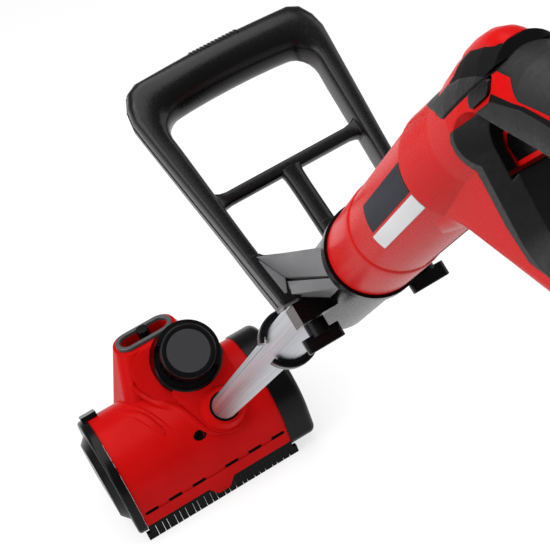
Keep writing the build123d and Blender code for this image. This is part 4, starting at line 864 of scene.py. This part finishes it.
def make_wing(node, body, side):
    """Knob drawn in from the plain one, with its bore as it was."""
    shape = Shape()
    shape.take(nodes[node].data)
    middle = tube_at(side * WING_X, WING_ALONG, 0)
    moved = []
    for vert in shape.verts:
        offset = (vert - middle) / MM
        x, along, across = (offset.dot(direction) for direction in (SIDE, ALONG, ACROSS))
        if math.hypot(x, along) > BOLT_BORE:
            across -= min(across - WING_HUB_LOW, 0.0) * (1 - BLADE_SHALLOW)
            along = along * BLADE_SLIM + BLADE_LEAN * max(-1.0, min(1.0, x / BLADE_LEAN_BY))
            x *= BLADE_SHORT
        moved.append(middle + (SIDE * x + ALONG * along + ACROSS * across) * MM)
    shape.verts = moved
    piece = add_piece(f"{node}_blades", shape, "black", body)
    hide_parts(node)


# Raised sleeve of the barrel, with a window over each of two screws in its middle band, and its parting line
BARREL_SKIN = 25.6
SLEEVE_R = 27.0
BARREL_SIDES = 72
MIDDLE_LOW = 1015
MIDDLE_HIGH = 1025
MIDDLE_ARCS = ((63, 297), (-43, 43))
MIDDLE_STEPS = 40
SLEEVE_FRONT = (
    (978.6, BARREL_SKIN), (978.6, 26.5), (979.2, SLEEVE_R),
    (MIDDLE_LOW, SLEEVE_R), (MIDDLE_LOW, BARREL_SKIN),
)
SLEEVE_REAR = (
    (MIDDLE_HIGH, BARREL_SKIN), (MIDDLE_HIGH, SLEEVE_R), (1036, SLEEVE_R),
    (1038.6, 26.8), (1040, 26.2), (1040.2, BARREL_SKIN),
)
BARREL_SEAM_R = 0.3
BARREL_SEAM_ACROSS = -26.2
BARREL_SEAM_ALONG = range(1041, 1142, 10)


def make_barrel():
    """Raised front sleeve of the barrel and the fine parting line of its underside."""
    shape = Shape()
    for profile in (SLEEVE_FRONT, SLEEVE_REAR):
        shape.loft([tube_circle(along, radius, BARREL_SIDES) for along, radius in profile], closed=True)
    low = ((BARREL_SKIN, MIDDLE_LOW), (SLEEVE_R, MIDDLE_LOW))
    high = ((SLEEVE_R, MIDDLE_HIGH), (BARREL_SKIN, MIDDLE_HIGH))
    for first, last in MIDDLE_ARCS:
        angles = arc(first, last, MIDDLE_STEPS)
        shape.loft([[round_tube(radius, turn, along) for radius, along in low + high] for turn in angles])
    add_piece("barrel_sleeve", shape, "red", "rear_handle")
    shape = Shape()
    wire(shape, [tube_at(0, along, BARREL_SEAM_ACROSS) for along in BARREL_SEAM_ALONG], BARREL_SEAM_R)
    add_piece("barrel_seam", shape, "seam", "rear_handle")


# Red spine over the shoulder: y, height of its top, half width and half depth
SPINE = (
    (-835.0, 928.4, 2.0, 3.0), (-839.0, 934.2, 4.0, 4.0), (-846.0, 942.2, 5.6, 5.0),
    (-855.4, 950.6, 6.6, 5.2), (-864.4, 957.2, 7.2, 5.2), (-872.0, 960.6, 7.4, 4.8),
    (-876.5, 961.4, 7.2, 4.2), (-880.4, 961.4, 6.8, 3.6),
)
SPINE_SIDES = 24


def make_spine():
    """Raised red spine over the shoulder of the rear handle."""
    shape = Shape()
    rings = []
    for i, (y, top, wide, deep) in enumerate(SPINE):
        ahead = SPINE[min(i + 1, len(SPINE) - 1)]
        behind = SPINE[max(i - 1, 0)]
        run = Vector((0, ahead[0] - behind[0], ahead[1] - behind[1])).normalized()
        out = run.cross(SIDE)
        middle = Vector((0, y, top)) - out * deep
        rings.append([
            (middle + SIDE * wide * math.cos(turn) + out * deep * math.sin(turn)) * MM
            for turn in turns(SPINE_SIDES)
        ])
    shape.loft(rings)
    add_piece("spine_crest", shape, "red", "rear_handle")


# Painted shade of the cross recesses in the handle's screws, as flat dark crosses: places in y and z, and
# half sizes of the cross
SCREW_PLACES = ((-1012, 950), (-1012, 870), (-706.4, 793.6), (-736.1, 763.9), (-841.5, 873.5), (-950, 946))
SCREW_FACE = 11.4
CROSS_LONG = 2.1
CROSS_SHORT = 0.4
CROSS_SUNK = 0.2
CROSS_PROUD = 0.08


def make_recess_shadows():
    """Dark cross of painted shade in the head of each handle screw."""
    shape = Shape()
    faces = (SCREW_FACE - CROSS_SUNK, SCREW_FACE + CROSS_PROUD)
    for y, z in SCREW_PLACES:
        for wide, high in ((CROSS_LONG, CROSS_SHORT), (CROSS_SHORT, CROSS_LONG)):
            corners = ((-wide, -high), (wide, -high), (wide, high), (-wide, high))
            shape.loft([[Vector((x, y + a, z + b)) * MM for a, b in corners] for x in faces])
    add_piece("screw_recess_shadows", shape, "seam", "rear_handle")


# Battery: finger ribs on its sides, and the parting line round it
BATTERY_RIBS = 7
BATTERY_RIB_X = 36.7
BATTERY_RIB_Y = (-1074, -1072, -1044, -1042)
BATTERY_RIB_LOW = 852
BATTERY_RIB_PITCH = 6
BATTERY_RIB_R = 1.3
BATTERY_RIB_SIDES = 10
BATTERY_OUTLINE = ((-37, -1082), (37, -1082), (37, -1041), (-37, -1041))
BATTERY_ROUND = 7
BATTERY_ROUND_STEPS = 8
BATTERY_SEAM_Z = 902
BATTERY_SEAM_R = 0.4


def make_battery():
    """Finger ribs on the battery's sides and the parting line round it."""
    shape = Shape()
    for x in (-BATTERY_RIB_X, BATTERY_RIB_X):
        for k in range(BATTERY_RIBS):
            z = BATTERY_RIB_LOW + BATTERY_RIB_PITCH * k
            line = [Vector((x, y, z)) * MM for y in BATTERY_RIB_Y]
            wire(shape, line, BATTERY_RIB_R, BATTERY_RIB_SIDES)
    add_piece("battery_ribs", shape, "charcoal", "battery")
    shape = Shape()
    outline = rounded(BATTERY_OUTLINE, BATTERY_ROUND, BATTERY_ROUND_STEPS)
    line = [Vector((p.x, p.y, BATTERY_SEAM_Z)) * MM for p in outline]
    wire(shape, line, BATTERY_SEAM_R, closed=True)
    add_piece("battery_seam", shape, "seam", "battery")


# Ridges of the hood and the tower: places that each passes, its half height and how far its middle is sunk
SWEEP = (
    (-79.5, 20.0, 158.0), (-78.0, 15.5, 149.5), (-72.5, 5.0, 141.5), (-63.4, -13.6, 138.0),
    (-52.8, -26.8, 130.0), (-43.4, -41.1, 122.8), (-37.4, -53.0, 113.4), (-32.2, -61.2, 104.4),
    (-23.9, -67.6, 96.6), (-14.1, -72.2, 92.4),
)
HOOD_RIDGE = (
    (-112, 10, 133.9), (-95.3, -11.2, 133.8), (-88.2, -24, 130.8), (-83.4, -36.5, 125.3), (-79, -50, 116.2),
)
HOOD_CREASE = ((-103.5, 24, 131.0), (-89.8, -2.7, 134.6), (-76.1, -34.7, 126.4), (-62.5, -61.6, 104.6))
BEADS = ((SWEEP, 6.0, 2.6), (HOOD_RIDGE, 6.0, 1.2), (HOOD_CREASE, 3.6, 0.7))
BEAD_STEPS = 6
BEAD_SIDES = 14
BEAD_FLAT = 1.25
BEAD_END = 0.25
BEAD_SWELL = 0.6
# raised panel on the tower's front: outlines in x and z, the face's y and how far it leans back with height
PANEL_BASE = ((-84, 105), (16, 105), (-9, 171), (-61, 171))
PANEL_FACE = ((-82.2, 106.6), (14.0, 106.6), (-10.4, 169.4), (-59.6, 169.4))
PANEL_BASE_ROUND = 8
PANEL_FACE_ROUND = 7
PANEL_BACK_Y = 77.6
PANEL_EDGE_Y = 80.5
PANEL_FACE_Y = 81.2
PANEL_LEAN = 0.006
PANEL_FOOT_Z = 106


def smooth_path(points):
    """Smooth curve through places, with its slope at each set by its two neighbours."""
    marks = [Vector(p) for p in points]
    path = []
    for i in range(len(marks) - 1):
        here, there = marks[i], marks[i + 1]
        leave = (there - marks[max(i - 1, 0)]) / 2
        arrive = (marks[min(i + 2, len(marks) - 1)] - here) / 2
        for k in range(BEAD_STEPS):
            t = k / BEAD_STEPS
            path.append(here * (2 * t ** 3 - 3 * t ** 2 + 1) + leave * (t ** 3 - 2 * t ** 2 + t)
                        + there * (3 * t ** 2 - 2 * t ** 3) + arrive * (t ** 3 - t ** 2))
    path.append(marks[-1])
    return path


def bead(shape, points, radius, sink):
    """Soft ridge on the hood that tapers away at both ends."""
    path = smooth_path(points)
    last = len(path) - 1
    rings = []
    for i, point in enumerate(path):
        run = (path[min(i + 1, last)] - path[max(i - 1, 0)]).normalized()
        out = Vector((0, point.y, point.z - AXLE_HEIGHT)).normalized()
        side = run.cross(out).normalized()
        out = side.cross(run)
        thick = radius * between(BEAD_END, 1.0, math.sin(math.pi * i / last) ** BEAD_SWELL)
        middle = point - out * (sink * thick / radius)
        rings.append([
            (middle + (side * math.cos(turn) * BEAD_FLAT + out * math.sin(turn)) * thick) * MM
            for turn in turns(BEAD_SIDES)
        ])
    shape.loft(rings)


def make_hood_ridges():
    """Sculpted ridges of the hood and the panel on the tower's front."""
    shape = Shape()
    for points, radius, sink in BEADS:
        bead(shape, points, radius, sink)
    base = rounded(PANEL_BASE, PANEL_BASE_ROUND)
    face = rounded(PANEL_FACE, PANEL_FACE_ROUND)
    layers = ((base, PANEL_BACK_Y, 0.0), (base, PANEL_EDGE_Y, PANEL_LEAN), (face, PANEL_FACE_Y, PANEL_LEAN))
    shape.loft([
        [Vector((p.x, y - (p.y - PANEL_FOOT_Z) * lean, p.y)) * MM for p in outline]
        for outline, y, lean in layers
    ])
    add_piece("hood_ridges", shape, "red", "head")


# Black foot of the motor cap, whose black also paints the shade in the gap round the cap's base: place along
# the motor's axis and radius, which is drawn in away from the tube
FOOT_PROFILE = (
    (70.2, 46.5), (82.5, 46.5), (84.8, 44.8), (85.6, 42.0), (84.0, 40.4), (84.0, 33.4), (70.2, 33.4),
)
FOOT_COLLAR = 40
FOOT_SIDES = 72
# sine of the turn at which the drawing in is complete, and the range of sines that it runs over
FOOT_SINE_FROM = 0.35
FOOT_SINE_OVER = 0.7


def motor_ring(along, radius):
    """Ring about the motor's axis, drawn in to the collar on the side away from the tube."""
    ring = []
    for turn in turns(FOOT_SIDES):
        share = min(max((FOOT_SINE_FROM - math.sin(turn)) / FOOT_SINE_OVER, 0.0), 1.0)
        reach = radius if radius < FOOT_COLLAR else between(FOOT_COLLAR, radius, share)
        x = MOTOR_X + reach * math.cos(turn)
        ring.append(tube_at(x, along, MOTOR_ACROSS + reach * math.sin(turn)))
    return ring


def make_motor_foot():
    """Black foot that the motor cap stands in; its black also paints the shade in the gap round the cap's
    base.
    """
    shape = Shape()
    shape.loft([motor_ring(along, radius) for along, radius in FOOT_PROFILE], closed=True)
    add_piece("motor_foot_shade", shape, "black", "head")


# Painted shade of the hood's dark gaps: round the tube in its socket, in the six slots of the lip and in the
# screw's recess
GAP_PROFILE = ((99.2, 16.2), (100.3, 16.2), (100.3, 18.8), (99.2, 18.8))
GAP_SIDES = 48
HOOD_MID = -45.0
SLOT_FIRST = 23.65
SLOT_PITCH = 33.9
SLOTS_EACH_SIDE = 3
SLOT_HALF = (9.2, 2.7)
SLOT_ROUND = 1.0
SLOT_Y = (-75.6, -77.6)
SLOT_Z = 44.8
HOOD_R = 78.0
RECESS_X = -41.7
RECESS_TURN = 146.0
RECESS_HALF = (8.6, 6.4)
RECESS_SUNK = 0.6
RECESS_PROUD = 0.12
RECESS_SIDES = 28


def add_slot_shadows(shape):
    """Painted shade: a dark sheet in each slot of the lip."""
    wide, high = SLOT_HALF
    corners = ((-wide, -high), (wide, -high), (wide, high), (-wide, high))
    outline = rounded(corners, SLOT_ROUND, SMALL_CORNER_STEPS)
    for side in (-1, 1):
        for k in range(SLOTS_EACH_SIDE):
            x = HOOD_MID + side * (SLOT_FIRST + SLOT_PITCH * k)
            shape.loft([[Vector((x + p.x, y, SLOT_Z + p.y)) * MM for p in outline] for y in SLOT_Y])


def add_recess_shadow(shape):
    """Painted shade: a dark ellipse over the hood's screw."""
    wide, high = RECESS_HALF
    rings = []
    for radius in (HOOD_R - RECESS_SUNK, HOOD_R + RECESS_PROUD):
        ring = []
        for turn in turns(RECESS_SIDES):
            angle = math.radians(RECESS_TURN) + high * math.sin(turn) / HOOD_R
            x = RECESS_X + wide * math.cos(turn)
            spot = Vector((x, radius * math.cos(angle), radius * math.sin(angle)))
            ring.append(BRUSH_AXIS + spot * MM)
        rings.append(ring)
    shape.loft(rings)


def make_hood_shadows():
    """Painted shade of the hood's dark gaps, as one piece."""
    shape = Shape()
    shape.loft([tube_circle(along, radius, GAP_SIDES) for along, radius in GAP_PROFILE], closed=True)
    add_slot_shadows(shape)
    add_recess_shadow(shape)
    add_piece("hood_shadows", shape, "seam", "head")


make_brush()
make_plate("navy_plate", NAVY_ALONG, NAVY_TURNS, "navy")
make_plate("silver_plate", SILVER_ALONG, SILVER_TURNS, "silver")
make_panels()
make_band()
make_front_handle()
make_wing("wing_knob_left", "left_wing", -1)
make_wing("wing_knob_right", "right_wing", 1)
make_barrel()
make_spine()
make_recess_shadows()
make_battery()
make_hood_ridges()
make_motor_foot()
make_hood_shadows()


# Stage, in metres and watts: a pale floor that keeps the object's shadow, white surroundings and soft light
FLOOR_HALF = 40.0
FLOOR_TONE = (0.9, 0.9, 0.9, 1)
FLOOR_ROUGH = 0.95
SHADE_LEFT = 0.3
SKY_STRENGTH = 0.22
LAMP_AIM = Vector((0.0, -0.45, 0.45))
# name, place, width and power of each lamp
LAMPS = (
    ("key", (-2.6, -0.4, 2.2), 2.6, 78),
    ("fill", (2.2, -0.8, 1.6), 2.4, 34),
    ("top", (-0.3, 0.2, 3.0), 3.0, 84),
)


def seen_white(tree):
    """One for rays that show the background, nought for rays that light the object."""
    path = tree.nodes.new("ShaderNodeLightPath")
    total = path.outputs["Is Camera Ray"]
    for name in ("Is Glossy Ray", "Is Transmission Ray"):
        total = joined(tree, "MAXIMUM", total, path.outputs[name])
    return total


def make_floor():
    """Pale floor that looks mostly white and shows part of its shade."""
    mesh = bpy.data.meshes.new("floor")
    h = FLOOR_HALF
    mesh.from_pydata([(-h, -h, 0), (h, -h, 0), (h, h, 0), (-h, h, 0)], [], [(0, 1, 2, 3)])
    floor = bpy.data.objects.new("floor", mesh)
    scene.collection.objects.link(floor)
    material, tree, shader = new_material("pale_floor")
    shader.inputs["Base Color"].default_value = FLOOR_TONE
    shader.inputs["Roughness"].default_value = FLOOR_ROUGH
    shader.inputs["Specular IOR Level"].default_value = 0.0
    glow = tree.nodes.new("ShaderNodeEmission")
    mix = tree.nodes.new("ShaderNodeMixShader")
    share = tree.nodes.new("ShaderNodeMath")
    share.operation = "MULTIPLY"
    share.inputs[1].default_value = 1 - SHADE_LEFT
    tree.links.new(seen_white(tree), share.inputs[0])
    tree.links.new(share.outputs[0], mix.inputs[0])
    tree.links.new(shader.outputs[0], mix.inputs[1])
    tree.links.new(glow.outputs[0], mix.inputs[2])
    tree.links.new(mix.outputs[0], tree.nodes["Material Output"].inputs["Surface"])
    mesh.materials.append(material)


def make_world():
    """Even white sky."""
    world = bpy.data.worlds.new("surroundings")
    world.use_nodes = True
    sky = world.node_tree.nodes["Background"]
    sky.inputs["Color"].default_value = (1, 1, 1, 1)
    sky.inputs["Strength"].default_value = SKY_STRENGTH
    scene.world = world


def make_lamp(name, at, width, watts):
    """Square lamp that faces the middle of the object."""
    data = bpy.data.lights.new(name, "AREA")
    data.shape = "RECTANGLE"
    data.size = width
    data.size_y = width
    data.energy = watts
    lamp = bpy.data.objects.new(name, data)
    lamp.location = at
    lamp.rotation_euler = (LAMP_AIM - Vector(at)).to_track_quat("-Z", "Y").to_euler()
    scene.collection.objects.link(lamp)


make_camera()
make_floor()
make_world()
for lamp_row in LAMPS:
    make_lamp(*lamp_row)
